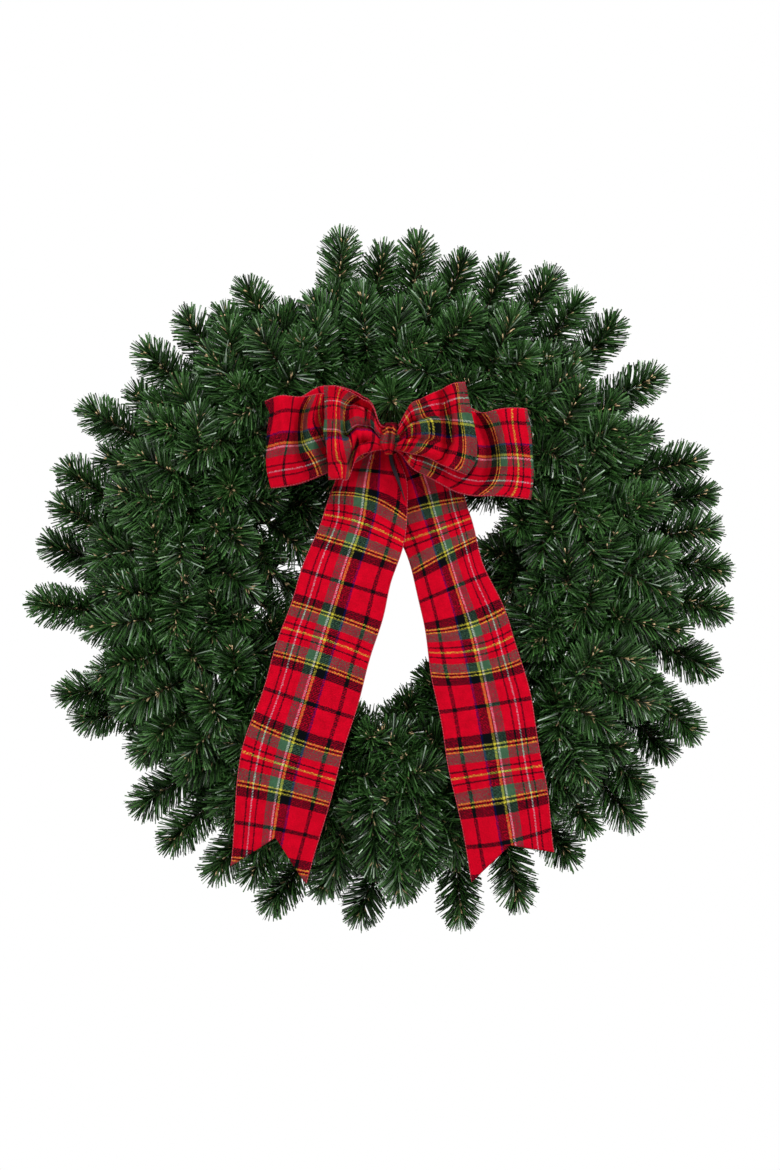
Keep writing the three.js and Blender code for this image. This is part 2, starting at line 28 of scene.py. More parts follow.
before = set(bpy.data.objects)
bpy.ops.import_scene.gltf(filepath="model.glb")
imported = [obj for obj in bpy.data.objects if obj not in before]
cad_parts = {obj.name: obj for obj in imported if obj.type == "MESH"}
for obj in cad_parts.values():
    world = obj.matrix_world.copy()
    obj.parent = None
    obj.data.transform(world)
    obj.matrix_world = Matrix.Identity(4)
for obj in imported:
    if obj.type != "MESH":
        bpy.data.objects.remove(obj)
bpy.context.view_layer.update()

RING_RADIUS = 205
WIRE_RADIUS = 2.3
# How far behind the ring's middle the twigs cross it.
SEAT = 4.7
FRAME_SHIFT = np.array([0, 0, WIRE_RADIUS - RING_RADIUS])
METRES = 0.001
TURN = 2 * np.pi
GOLDEN_TURN = TURN * 0.381966


# Numbers and curves

def draw(i, k):
    """A fixed draw from 0 to 1: the fraction left of a large multiple of the sine of both numbers."""
    s = np.sin(np.asarray(i) * 12.9898 + k * 78.233) * 43758.5453
    return s - np.floor(s)


def spread(i, k, reach):
    """A fixed draw from -reach to reach."""
    return (2 * draw(i, k) - 1) * reach


def smooth(t):
    """Rises from 0 to 1 with t, level at both ends: three t squared less two t cubed, t held to 0 to 1."""
    t = np.clip(t, 0, 1)
    return t * t * (3 - 2 * t)


def bell(t):
    """1 at t = 0, falling to 0 on both sides: e to the power of minus t squared."""
    return np.exp(-np.square(t))


def unit(v):
    """Each vector divided by its length."""
    return v / np.maximum(np.linalg.norm(v, axis=-1, keepdims=True), 1e-9)


def polar(angle, radius, y):
    """A point by its angle round the wreath, its distance from the centre and its depth."""
    return np.array([radius * np.cos(angle), y, radius * np.sin(angle)])


def smooth_through(at, pairs):
    """A curve through (place, value) pairs: a cubic on each span, with the mean slope at each pair."""
    x, y = np.array(pairs, float).T
    slope = np.gradient(y, x)
    i = np.clip(np.searchsorted(x, at, side="right") - 1, 0, len(x) - 2)
    width = x[i + 1] - x[i]
    t = np.clip((at - x[i]) / width, 0, 1)
    start = (1 + 2 * t) * (1 - t) ** 2 * y[i] + t * (1 - t) ** 2 * width * slope[i]
    end = t * t * (3 - 2 * t) * y[i + 1] - t * t * (1 - t) * width * slope[i + 1]
    return start + end


def along(values, t):
    """A value read at t, 0 to 1, along an evenly spaced list, by a cubic through its entries."""
    values = np.array(values, float)
    last = len(values) - 1
    place = np.asarray(t) * last
    i = np.minimum(last - 1, np.floor(place).astype(int))
    f = place - i
    a, b, c, d = (values[np.clip(i + k, 0, last)] for k in (-1, 0, 1, 2))
    return b + 0.5 * f * (c - a + f * (2 * a - 5 * b + 4 * c - d + f * (3 * (b - c) + d - a)))


SPAN_POINTS = 40


def curve_through(points):
    """A line of SPAN_POINTS points a span through the given ones: a cubic on each span. Its end slopes weigh
    the spans by the root of their length, and the line is carried on past its ends by reflection."""
    p = np.asarray(points, float)
    p = np.vstack([2 * p[0] - p[1], p, 2 * p[-1] - p[-2]])
    a, b, c, d = p[:-3], p[1:-2], p[2:-1], p[3:]
    spans = ((a, b), (b, c), (c, d))
    before, here, after = (np.sqrt(np.linalg.norm(n - m, axis=1))[:, None] for m, n in spans)
    leave = ((b - a) / before - (c - a) / (before + here) + (c - b) / here) * here
    reach = ((c - b) / here - (d - b) / (here + after) + (d - c) / after) * here
    t = (np.arange(SPAN_POINTS) / SPAN_POINTS)[None, :, None]
    b, c, leave, reach = (m[:, None] for m in (b, c, leave, reach))
    line = b * (2 * t**3 - 3 * t**2 + 1) + leave * (t**3 - 2 * t**2 + t)
    line = line + c * (3 * t**2 - 2 * t**3) + reach * (t**3 - t**2)
    return np.vstack([line.reshape(-1, 3), p[-2]])


def lengths_along(line):
    """The distance along a line of points, from its first point to each."""
    return np.append(0, np.cumsum(np.linalg.norm(np.diff(line, axis=0), axis=1)))


def read_line(line, at):
    """Points of a line at given distances along it, and the directions there."""
    lengths = lengths_along(line)
    ahead = unit(np.gradient(line, lengths, axis=0))
    points = np.stack([np.interp(at, lengths, line[:, k]) for k in range(3)], -1)
    return points, unit(np.stack([np.interp(at, lengths, ahead[:, k]) for k in range(3)], -1))


# Meshes

def grid_numbers(rows, columns):
    """The row and the column of each place on a grid, as two flat lists."""
    return [m.ravel() for m in np.meshgrid(np.arange(rows), np.arange(columns), indexing="ij")]


def surface_grid(rows, columns):
    """A surface's two parameters on a grid: one from 0 to 1 down it, and one from -1 to 1 across it."""
    return np.meshgrid(np.linspace(0, 1, rows + 1), np.linspace(-1, 1, columns + 1), indexing="ij")


def sheet_faces(rows, columns):
    """Four-sided faces between neighbouring points of a grid, whose points are stored row by row."""
    i, j = grid_numbers(rows - 1, columns - 1)
    first = i * columns + j
    return np.stack([first, first + columns, first + columns + 1, first + 1], 1)


def run_down(points):
    """The distance down each column of a grid of points, from its first row."""
    steps = np.linalg.norm(np.diff(points, axis=0), axis=2)
    return np.vstack([np.zeros(points.shape[1]), np.cumsum(steps, axis=0)])


def make_piece(name, points, faces, uvs, finish, slot, replaced=(), smooth_faces=True, uv_map="surface"):
    """A mesh piece from points in mm, faces as rows of point numbers, and a UV pair for each corner."""
    mesh = bpy.data.meshes.new(name)
    mesh.vertices.add(len(points))
    mesh.vertices.foreach_set("co", ((points + FRAME_SHIFT) * METRES).astype(np.float32).ravel())
    mesh.loops.add(faces.size)
    mesh.loops.foreach_set("vertex_index", faces.astype(np.int32).ravel())
    mesh.polygons.add(len(faces))
    mesh.polygons.foreach_set("loop_start", np.arange(0, faces.size, faces.shape[1], dtype=np.int32))
    mesh.polygons.foreach_set("use_smooth", np.full(len(faces), smooth_faces))
    layer = mesh.uv_layers.new(name=uv_map)
    layer.data.foreach_set("uv", uvs.astype(np.float32).ravel())
    mesh.update(calc_edges=True)
    mesh.materials.append(finish)
    piece = bpy.data.objects.new(name, mesh)
    bpy.context.scene.collection.objects.link(piece)
    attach(piece, "root")
    if replaced:
        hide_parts(*replaced)
    return piece


def loft(rings, uv_along):
    """Triangles that join rings of points to a tube, with a fan over each end, as points, faces and UVs.
    U runs once round the tube, and V holds uv_along."""
    count, sides, _ = rings.shape
    i, k = grid_numbers(count - 1, sides)
    k1 = (k + 1) % sides
    a, b, c, d = i * sides + k, i * sides + k1, (i + 1) * sides + k1, (i + 1) * sides + k
    walls = np.concatenate([np.stack([a, b, c], 1), np.stack([a, c, d], 1)])
    u0, u1 = k / sides, (k + 1) / sides
    v0, v1 = uv_along[i], uv_along[i + 1]
    a, b, c, d = (np.stack(pair, 1) for pair in ((u0, v0), (u1, v0), (u1, v1), (u0, v1)))
    wall_uv = np.concatenate([np.stack([a, b, c], 1), np.stack([a, c, d], 1)])
    first, last, base = count * sides, count * sides + 1, (count - 1) * sides
    k = np.arange(sides)
    k1 = (k + 1) % sides
    front = np.stack([np.full(sides, first), k1, k], 1)
    rear = np.stack([np.full(sides, last), base + k, base + k1], 1)
    ends = np.repeat([uv_along[0], uv_along[-1]], sides)[:, None]
    turn = np.tile(k, 2)[:, None] / sides
    fan_uv = np.stack(np.broadcast_arrays(turn + np.array([0, 1, 0]) / sides, ends), -1)
    points = np.vstack([rings.reshape(-1, 3), rings[0].mean(0), rings[-1].mean(0)])
    return points, np.concatenate([walls, front, rear]), np.concatenate([wall_uv, fan_uv])


def joined(parts):
    """Several sets of points, faces and UVs as one, with the faces' numbers moved on."""
    starts = np.cumsum([0] + [len(p) for p, _, _ in parts[:-1]])
    faces = np.concatenate([f + s for (_, f, _), s in zip(parts, starts)])
    return np.vstack([p for p, _, _ in parts]), faces, np.concatenate([uv for _, _, uv in parts])


def frames_on(ahead, side):
    """Two directions square to each direction ahead. The first is side, less its part along ahead."""
    across = unit(side - (side * ahead).sum(-1, keepdims=True) * ahead)
    return across, np.cross(ahead, across)


def around(across, up, angle):
    """For each point of a line, directions square to it at the given angles, from across towards up."""
    return across[:, None] * np.cos(angle)[..., None] + up[:, None] * np.sin(angle)[..., None]


def tube(line, ahead, side, radii, sides, uv_along):
    """A round tube along a line. Its radius is one number, or one for each point of the line."""
    across, up = frames_on(ahead, side)
    out = around(across, up, np.arange(sides) * TURN / sides)
    return loft(line[:, None] + out * np.broadcast_to(radii, len(line))[:, None, None], uv_along)


def squared(wave, power):
    """A wave from -1 to 1 made squarer: its size raised to a power under 1, with its sign kept."""
    return np.sign(wave) * np.abs(wave) ** power


# Materials

BAKE_MAP = "OFBake"
# The wires' V is under TAN_FROM on the twisted wire, and TAN_TONE on the tan ends of film.
TAN_FROM = 0.9
TAN_TONE = 0.95


def srgb(red, green, blue):
    """A colour given as it looks on a screen, 0 to 255, as the linear colour that a shader takes."""
    c = np.array([red, green, blue]) / 255
    linear = np.where(c <= 0.04045, c / 12.92, ((c + 0.055) / 1.055) ** 2.4)
    return (*linear, 1.0)


def feed(tree, made, inputs):
    """Fills a node's inputs, by name or number: a socket is linked, and a value is set."""
    for key, value in inputs.items():
        if isinstance(value, bpy.types.NodeSocket):
            tree.links.new(value, made.inputs[key])
        else:
            made.inputs[key].default_value = value


def node(tree, kind, inputs=None, **settings):
    """A new shader node, with its settings and its inputs."""
    made = tree.nodes.new("ShaderNode" + kind)
    for key, value in settings.items():
        setattr(made, key, value)
    feed(tree, made, inputs or {})
    return made


def maths(tree, operation, *values):
    """A Math node's result."""
    return node(tree, "Math", dict(enumerate(values)), operation=operation).outputs[0]


def scaled(tree, value, by, plus=0.0):
    """A value times a second one, plus a third."""
    return maths(tree, "MULTIPLY_ADD", value, by, plus)


def noise(tree, place, scale, detail, roughness=0.5):
    """Soft noise at a place: how fine it is, in how many sizes, and how strong the smaller ones are."""
    inputs = {"Vector": place, "Scale": scale, "Detail": detail, "Roughness": roughness}
    return node(tree, "TexNoise", inputs).outputs[0]


def place_of(tree, across, length):
    """Two values as a place for noise."""
    return node(tree, "CombineXYZ", {0: across, 1: length}).outputs[0]


def tinted(tree, colour, shade):
    """A colour times a shade."""
    return node(tree, "VectorMath", {0: colour, "Scale": shade}, operation="SCALE").outputs[0]


def colours(tree, factor, stops, steps="LINEAR"):
    """A ramp's colour at factor, from stops of (place, colour)."""
    made = node(tree, "ValToRGB", {"Fac": factor})
    ramp = made.color_ramp
    ramp.interpolation = steps
    for place, _ in stops[2:]:
        ramp.elements.new(place)
    for element, (place, colour) in zip(ramp.elements, stops):
        element.position = place
        element.color = colour
    return made.outputs["Color"]


def mixed(tree, factor, first, second):
    """Two colours mixed by factor."""
    return node(tree, "Mix", {0: factor, 6: first, 7: second}, data_type="RGBA").outputs[2]


def group(name, inputs, outputs):
    """A new shader node group, from inputs as label, kind and default, and outputs as label and kind. Returns
    the group, the sockets that bring its inputs, and those that take its outputs."""
    tree = bpy.data.node_groups.new(name, "ShaderNodeTree")
    for label, kind, default in inputs:
        socket = tree.interface.new_socket(name=label, in_out="INPUT", socket_type=kind)
        socket.default_value = default
    for label, kind in outputs:
        tree.interface.new_socket(name=label, in_out="OUTPUT", socket_type=kind)
    return tree, tree.nodes.new("NodeGroupInput").outputs, tree.nodes.new("NodeGroupOutput").inputs


def mottle_group():
    """Soft uneven tone: two sizes of noise on Object coordinates make a shade round 1. It puts out the colour
    in that shade, the shade, and the finer noise as a height."""
    tree, given, out = group(
        "uneven_tone",
        [("Colour", "NodeSocketColor", (1, 1, 1, 1)), ("Scale", "NodeSocketFloat", 60.0),
         ("Amount", "NodeSocketFloat", 0.2)],
        [("Colour", "NodeSocketColor"), ("Shade", "NodeSocketFloat"), ("Height", "NodeSocketFloat")],
    )
    place = node(tree, "TexCoord").outputs["Object"]
    coarse = noise(tree, place, given["Scale"], 2.0)
    fine = noise(tree, place, maths(tree, "MULTIPLY", given["Scale"], 6.0), 3.0)
    both = maths(tree, "SUBTRACT", maths(tree, "ADD", coarse, fine), 1.0)
    shade = scaled(tree, both, given["Amount"], 1.0)
    tree.links.new(shade, out["Shade"])
    tree.links.new(fine, out["Height"])
    tree.links.new(tinted(tree, given["Colour"], shade), out["Colour"])
    return tree


UNEVEN = mottle_group()


def uneven(tree, colour, scale, amount):
    """The uneven_tone group's outputs for a colour."""
    inputs = {"Colour": colour, "Scale": scale, "Amount": amount}
    return node(tree, "Group", inputs, node_tree=UNEVEN).outputs


def material(name):
    """A new material: its tree and its Principled shader."""
    made = bpy.data.materials.new(name)
    made.use_nodes = True
    return made, made.node_tree, made.node_tree.nodes["Principled BSDF"]


def relief(tree, height, distance, strength):
    """A normal from a height, as relief of that depth in metres."""
    return node(tree, "Bump", {"Height": height, "Distance": distance, "Strength": strength}).outputs[0]


def surface_map(tree, uv_map="surface"):
    """The piece's own UV pair as two values."""
    parts = node(tree, "SeparateXYZ", {0: node(tree, "UVMap", uv_map=uv_map).outputs[0]})
    return parts.outputs[0], parts.outputs[1]


def needle_film():
    """Cut green film: U runs from root to end, and V is the needle's tone, which carries painted shade and
    light. Streaks run along it, and its root is darker: painted shade near the stem."""
    made, tree, shader = material("needle_film")
    length, tone = surface_map(tree, BAKE_MAP)
    # The palest stop is the colour of the painted glints on a few needles.
    green = colours(tree, tone, [
        (0.0, srgb(12, 24, 11)), (0.3, srgb(34, 65, 28)), (0.6, srgb(61, 106, 48)),
        (0.8, srgb(88, 138, 70)), (0.94, srgb(116, 158, 104)), (0.97, srgb(196, 220, 196)),
    ])
    streak_place = place_of(tree, maths(tree, "MULTIPLY", length, 5.0), maths(tree, "MULTIPLY", tone, 160.0))
    streak = noise(tree, streak_place, 1.0, 1.0)
    # Painted shade: the needle's tone falls towards its root, near the stem.
    rise = scaled(tree, length, 0.56, 0.34)
    shade = maths(tree, "MULTIPLY", rise, scaled(tree, streak, 0.6, 0.7))
    feed(tree, shader, {
        "Base Color": tinted(tree, green, shade),
        "Roughness": scaled(tree, streak, 0.24, 0.14),
        "Normal": relief(tree, streak, 0.0002, 0.4),
    })
    return made


def twig_wire():
    """Twisted wire, brown with green paint on its strands, and tan film ends, whose V is over TAN_FROM."""
    made, tree, shader = material("twig_wire")
    turn, place = surface_map(tree, BAKE_MAP)
    spot_place = place_of(tree, maths(tree, "MULTIPLY", turn, 3.0), maths(tree, "MULTIPLY", place, 260.0))
    spots = noise(tree, spot_place, 1.0, 2.0)
    strand = colours(tree, spots, [(0.3, srgb(44, 32, 20)), (0.5, srgb(88, 62, 38)), (0.6, srgb(36, 58, 34))])
    ends = colours(tree, spots, [(0.3, srgb(190, 152, 104)), (0.7, srgb(240, 214, 168))])
    tan = maths(tree, "GREATER_THAN", place, TAN_FROM)
    feed(tree, shader, {
        "Base Color": mixed(tree, tan, strand, ends),
        "Roughness": scaled(tree, spots, 0.3, 0.4),
        "Normal": relief(tree, spots, 0.0002, 0.5),
    })
    return made


def ring_paint():
    """Dark green enamel on steel wire, a little uneven, with worn spots that show the metal."""
    made, tree, shader = material("ring_paint")
    paint = uneven(tree, srgb(36, 66, 44), 90.0, 0.45)
    worn = maths(tree, "GREATER_THAN", paint["Height"], 0.67)
    feed(tree, shader, {
        "Base Color": mixed(tree, worn, paint["Colour"], srgb(120, 120, 116)),
        "Metallic": worn,
        "Roughness": scaled(tree, paint["Shade"], -0.25, 0.62),
        "Normal": relief(tree, paint["Height"], 0.0003, 0.6),
    })
    return made


RIB_PITCH = 1.3


def strap_plastic():
    """Dark moulded strap: fine cross ribs along its length, paler and rougher on their crests."""
    made, tree, shader = material("strap_plastic")
    _, place = surface_map(tree)
    rib = maths(tree, "SINE", maths(tree, "MULTIPLY", place, TURN / RIB_PITCH))
    tone = uneven(tree, srgb(44, 30, 38), 150.0, 0.35)
    crest = scaled(tree, rib, 0.16, 0.16)
    feed(tree, shader, {
        "Base Color": mixed(tree, crest, tone["Colour"], srgb(82, 60, 72)),
        "Roughness": maths(tree, "ADD", crest, 0.5),
        "Specular IOR Level": 0.2,
        "Normal": relief(tree, rib, 0.0002, 0.7),
    })
    return made


# The tartan: the colours as they look, each with where its stripe begins. A stripe of the warp is placed by
# its share of the ribbon's width, and one of the weft by its distance in mm from the yellow line that the
# weft is mirrored on, as far as HALF_REPEAT.
RED, BLACK, GREEN = (236, 0, 54), (24, 27, 32), (88, 126, 98)
YELLOW, WHITE, BLUE = (240, 226, 84), (246, 244, 238), (30, 34, 124)
WARP = [
    (0, RED), (0.102, BLACK), (0.122, RED), (0.161, WHITE), (0.178, RED), (0.226, BLACK), (0.244, RED),
    (0.333, GREEN), (0.4215, WHITE), (0.443, BLACK), (0.456, YELLOW), (0.483, BLACK), (0.579, BLUE),
    (0.603, RED), (0.811, BLACK), (0.855, RED),
]
WEFT = [
    (0, YELLOW), (0.85, RED), (5.2, BLACK), (7.1, RED), (14.0, GREEN), (24.6, YELLOW), (26.4, BLACK),
    (28.8, YELLOW), (30.6, BLACK), (40.0, RED), (65.4, BLACK),
]
HALF_REPEAT = 67.7
WIDTH = 98
SCREEN_GAMMA = 2.53
TWILL_PITCH = 2.9
# How far the nap shifts the stripes, as a share of the width and in mm, and the weft's share of the colour.
WARP_BLUR = 0.036
WEFT_BLUR = 4.6
WEFT_SHARE = 0.545


def as_seen(colour):
    """A screen colour from 0 to 1, for threads that are averaged by eye before they are made linear."""
    return (*(np.array(colour) / 255), 1.0)


def tartan_cloth():
    """Brushed tartan: U is the place across the ribbon, 0 to 1, and V the distance along it in mm. Warp and
    weft are mixed thread by thread, in a twill whose steps run diagonally, under a soft raised nap."""
    made, tree, shader = material("tartan_cloth")
    across, length = surface_map(tree)
    across_mm = maths(tree, "MULTIPLY", across, WIDTH)
    nap_place = place_of(tree, across_mm, length)
    nap = noise(tree, nap_place, 0.6, 4.0, 0.75)
    clouds = noise(tree, nap_place, 0.09, 2.0)
    blur = maths(tree, "SUBTRACT", nap, 0.5)
    weft_mm = maths(tree, "PINGPONG", scaled(tree, blur, WEFT_BLUR, length), HALF_REPEAT)
    weft_at = maths(tree, "DIVIDE", weft_mm, HALF_REPEAT)
    warp_at = scaled(tree, blur, WARP_BLUR, across)
    warp = colours(tree, warp_at, [(p, as_seen(c)) for p, c in WARP], "CONSTANT")
    weft = colours(tree, weft_at, [(p / HALF_REPEAT, as_seen(c)) for p, c in WEFT], "CONSTANT")
    step = maths(tree, "ADD", across_mm, length)
    twill = maths(tree, "SINE", maths(tree, "MULTIPLY", step, TURN / TWILL_PITCH))
    share = scaled(tree, twill, 0.18, scaled(tree, blur, 2.9, WEFT_SHARE))
    fuzz = scaled(tree, nap, 0.34, scaled(tree, clouds, 0.22, 0.565))
    lit = tinted(tree, mixed(tree, share, warp, weft), fuzz)
    feed(tree, shader, {
        "Base Color": node(tree, "Gamma", {"Color": lit, "Gamma": SCREEN_GAMMA}).outputs[0],
        "Roughness": scaled(tree, nap, 0.15, 0.82),
        "Specular IOR Level": 0.05,
        "Sheen Weight": 0.015,
        "Sheen Roughness": 0.5,
        "Normal": relief(tree, scaled(tree, twill, 0.12, nap), 0.0006, 0.55),
    })
    return made


def edge_thread():
    """Overlocked edge: slanting stitches of pale thread over the red. U runs round the edge, V along it."""
    made, tree, shader = material("edge_thread")
    turn, length = surface_map(tree)
    wave = maths(tree, "SINE", scaled(tree, length, TURN / STITCH_PITCH, maths(tree, "MULTIPLY", turn, TURN)))
    stitch = node(tree, "MapRange", {0: wave, 1: -0.1, 2: 0.6}).outputs[0]
    red = uneven(tree, srgb(176, 8, 36), 500.0, 0.5)
    feed(tree, shader, {
        "Base Color": mixed(tree, stitch, red["Colour"], srgb(206, 68, 90)),
        "Roughness": scaled(tree, red["Height"], 0.2, 0.7),
        "Normal": relief(tree, wave, 0.0004, 0.8),
    })
    return made


# The bow's ribbons

KNOT_X, KNOT_Y, KNOT_Z = 5, -107.5, 149
KNOT_HALF = 12
KNOT_GRID = (64, 52)
KNOT_WEFT = 43.4
GATHER_LENGTH = 44
LOOP_GRID = (140, 44)
TAIL_GRID = (120, 32)
# How far a loop's root is from the knot's middle, and the share of a tail at which its swallowtail starts.
LOOP_ROOT = 0.4
TAIL_CUT = 0.86
CLOTH_THICKNESS = 0.8
EDGE_RADIUS = 0.54
EDGE_STEP = 1.0
STITCH_PITCH = 3.2

# Each loop: the depth of its middle and of its two ends in the knot, its half depth, its side and reach, the
# number, size and phase of the waves along it, the number and size of the pleats at the knot, the size of the
# puff beside it, and whether the sett is reversed. Then its upper and lower edges by the distance from the
# knot, how far its end bulges by the place across, and how much higher the upper edge is at the back.
# A crease dips the front, or lifts it where its depth is negative: its distance from the knot by the place
# across, half width, depth, where across it is deepest, and how far it reaches across. A fold takes up cloth,
# so the stripes say where the weft is: its place in the sett, and the distance from the knot at four places
# across, from the upper edge to the lower one.
BACK_LOOP = dict(middle=-102, ends=(-105, -100), depth=11, fold=1.2, puff=0, pleat=4.5, reverse=False)
FRONT_LOOP = dict(middle=-131, ends=(-114.6, -110), depth=9.5, puff=10, reverse=True)
LOOPS = {
    "bow_loop_back_left": dict(
        BACK_LOOP, side=-1, reach=127, folds=2.6, phase=1.2, pleats=3.2,
        top=[(0, 159.5), (13, 160), (24, 173), (42, 191), (62, 197.5), (78, 194.5), (92, 192.5), (112, 193.5),
             (127, 188)],
        bottom=[(0, 138.5), (13, 138), (24, 130), (42, 121), (61, 115), (80, 107), (95, 102), (114, 98.5),
                (127, 97)],
        bulge=[(-1, -4), (-0.7, -0.5), (0, 1), (0.5, -1), (0.75, -2.5), (0.9, 1), (1, 2.5)],
        rear_lift=[(0, 0), (50, 5), (74, 8), (93, 0), (127, 0)],
        creases=[([(-1, 80), (0, 91), (1, 84)], 6.5, 13, 0.2, 1.1),
                 ([(-1, 108), (0, 108), (1, 114)], 9, -7, 0.1, 1.0),
                 ([(-1, 64), (0, 67), (1, 66)], 8, 24, 0.1, 1.8),
                 ([(-1, 70), (0, 79), (1, 74)], 6, -5, 0.2, 1.0)],
        stripes=[(103, 127, 129, 135, 138), (95.4, 120.5, 122.5, 129, 131), (67.7, 98.8, 102.7, 107.9, 106.6),
                 (40, 86.5, 94.9, 93, 82.2), (27.6, 80.3, 91, 83.2, 71.5), (0, 70.5, 72, 60, 48),
                 (-27.6, 50, 47, 36, 26), (-67.7, 15, 15, 12, 9), (-85, 0, 0, 0, 0)],
    ),
    "bow_loop_back_right": dict(
        BACK_LOOP, side=1, reach=151, folds=2.2, phase=0.2, pleats=3.4,
        top=[(0, 159.5), (13, 160), (24, 172), (45, 180), (85, 178.5), (102, 175.5), (118, 179), (136, 181),
             (151, 180.5)],
        bottom=[(0, 138.5), (13, 133), (24, 119), (38, 111), (56, 101), (73, 92.5), (87, 89.5), (114, 89),
                (136, 87), (151, 85)],
        bulge=[(-1, -1), (-0.6, 1.5), (0, 1), (0.5, -1), (1, -5)],
        rear_lift=[(0, 0), (70, 4), (88, 4), (106, 0), (151, 0)],
        creases=[([(-1, 90.5), (0, 109), (1, 93.5)], 6.5, 14, 0, 1.2),
                 ([(-1, 123), (0, 129), (1, 123)], 9, -8, 0, 1.1),
                 ([(-1, 82), (0, 92), (1, 82)], 7, -3, 0, 1.0),
                 ([(-1, 66), (0, 78), (1, 70)], 7, 9, -0.3, 1.2)],
        stripes=[(-17, 146, 151, 153, 151), (0, 130, 132.5, 136.2, 128.4), (27.6, 99.2, 112.9, 116, 96.9),
                 (40, 91, 106, 108.6, 87), (67.7, 75, 92, 90, 64), (107.8, 48, 52, 52, 42),
                 (135.4, 25, 25, 25, 20), (160, 0, 0, 0, 0)],
    ),
    "bow_loop_front_left": dict(
        FRONT_LOOP, side=-1, reach=65, folds=1.6, fold=0.8, phase=2.4, pleats=3.1, pleat=9,
        top=[(0, 160), (10, 166), (14, 178), (27, 189.5), (41, 197), (54, 201.5), (65, 202)],
        bottom=[(0, 138), (12, 136), (20, 134), (28, 131), (34, 126), (38, 117), (41.5, 108), (52, 105.5),
                (65, 105)],
        bulge=[(-1, -3.3), (-0.58, -2.6), (-0.3, -1), (0.05, 1.8), (0.4, 0.6), (1, 1.4)],
        rear_lift=[(0, 0), (30, 3), (65, 0)],
        creases=[([(-1, 41), (-0.55, 39.7), (-0.3, 36.6), (-0.1, 40.5), (0.1, 46.5), (0.4, 46), (0.8, 36),
                   (1, 33)], 5.5, 17, -0.1, 1.3),
                 ([(-1, 20), (0.3, 24), (1, 19)], 3, 8, 0.45, 0.45),
                 ([(-1, 54), (0, 56), (1, 55)], 8, -5, 0, 2)],
        stripes=[(17, 65, 65, 65, 65), (0, 48.5, 54, 54, 47.8), (-27.6, 33, 46, 37.5, 41.5),
                 (-40, 27, 40, 31, 37), (-67.7, 14, 16, 15, 20), (-85, 0, 0, 0, 0)],
    ),
    "bow_loop_front_right": dict(
        FRONT_LOOP, side=1, reach=87, folds=1.8, fold=0.6, phase=0.8, pleats=2.9, pleat=8,
        top=[(0, 159), (9, 159.5), (16, 172), (22, 182.5), (36, 190), (56, 198), (79, 205.5), (87, 206.5)],
        bottom=[(0, 139), (12, 136), (20, 133.6), (39, 129), (57, 121), (75, 114), (87, 110)],
        bulge=[(-1, -5), (-0.75, 3), (-0.4, 5.5), (0, 3), (0.4, -1), (1, -7)],
        rear_lift=[(0, 0), (87, 0)],
        creases=[([(-1, 57), (0, 62), (1, 59)], 5.5, 24, 0, 1.3),
                 ([(-1, 78), (0, 79), (1, 74)], 6.5, -9, 0, 1.4),
                 ([(-1, 38), (0, 43), (1, 42)], 8, -8, 0.1, 0.6),
                 ([(-1, 23), (0, 28), (1, 33)], 4.5, 8, 0.1, 0.5),
                 ([(-1, 14), (0, 17), (1, 20)], 3, 6, 0.3, 0.5)],
        stripes=[(15, 80, 86.2, 92, 82), (27.6, 70, 74.5, 79, 70), (67.7, 57, 65.7, 63.8, 48),
                 (95.4, 38, 50, 54, 33), (107.8, 30.3, 38, 43.4, 26.8), (135.4, 17, 22, 24, 15),
                 (160, 0, 0, 0, 0)],
    ),
}

# Each tail: its centre line as x and z on the way down, its half width and its depth there, how far its two
# corners reach past the notch, how its edges turn, the weft's shift, and the shares of its width tucked under
# at its top, at the left and the right. Its sag says how much lower the weft hangs at the left edge, the
# middle and the right edge, by the place down.
TAILS = {
    "bow_tail_left": dict(
        x=[-6, -11.5, -18.5, -37.5, -56, -79, -102.5, -114], z=[146, 114, 65, 7, -53, -128, -207, -272],
        half=[15, 35, 43.5, 47, 49, 50, 51, 40.5], y=[-91, -88.5, -87, -85, -86, -91, -98, -101],
        corners=(38, 43), turn=-0.05, reverse=False, weft=-87, tuck=(0.085, 0.07),
        sag=[(0, 0, 0, 0), (0.14, 17, 12, 13), (0.23, 1.5, 0.5, 18.5), (0.31, 4, 1.5, 9), (0.37, 2, 0, 0),
             (0.46, 0, 0, 0), (0.56, -3.5, -3.5, 0), (0.66, -2.5, -4, -1), (0.8, -5, 0, -1), (0.86, -1, 0, 2),
             (1, -2, -1, 0)],
    ),
    "bow_tail_right": dict(
        x=[16, 35, 52.5, 71, 91, 108, 122.5, 133.5], z=[146, 116, 62, 4, -62, -137, -217, -280],
        half=[15, 41, 39, 37.5, 45.5, 49, 48, 45], y=[-87, -84, -82.5, -82, -85, -91, -98, -101],
        corners=(32, 15), turn=-0.08, reverse=True, weft=-95, tuck=(0, 0),
        sag=[(0, 0, 0, 0), (0.14, 14, 14, 14), (0.24, 9, 8, 14), (0.31, 8, 8, 7), (0.38, 15, 7, 0),
             (0.47, 7, 3.5, 1), (0.545, 0, 7, 2), (0.6, -6, 6, 1), (0.72, -4, -2, 0), (0.8, 0, 2.5, 3),
             (0.85, 2, 2, 3), (0.92, 6, 7, 3), (1, 10, 9, 2)],
    ),
}


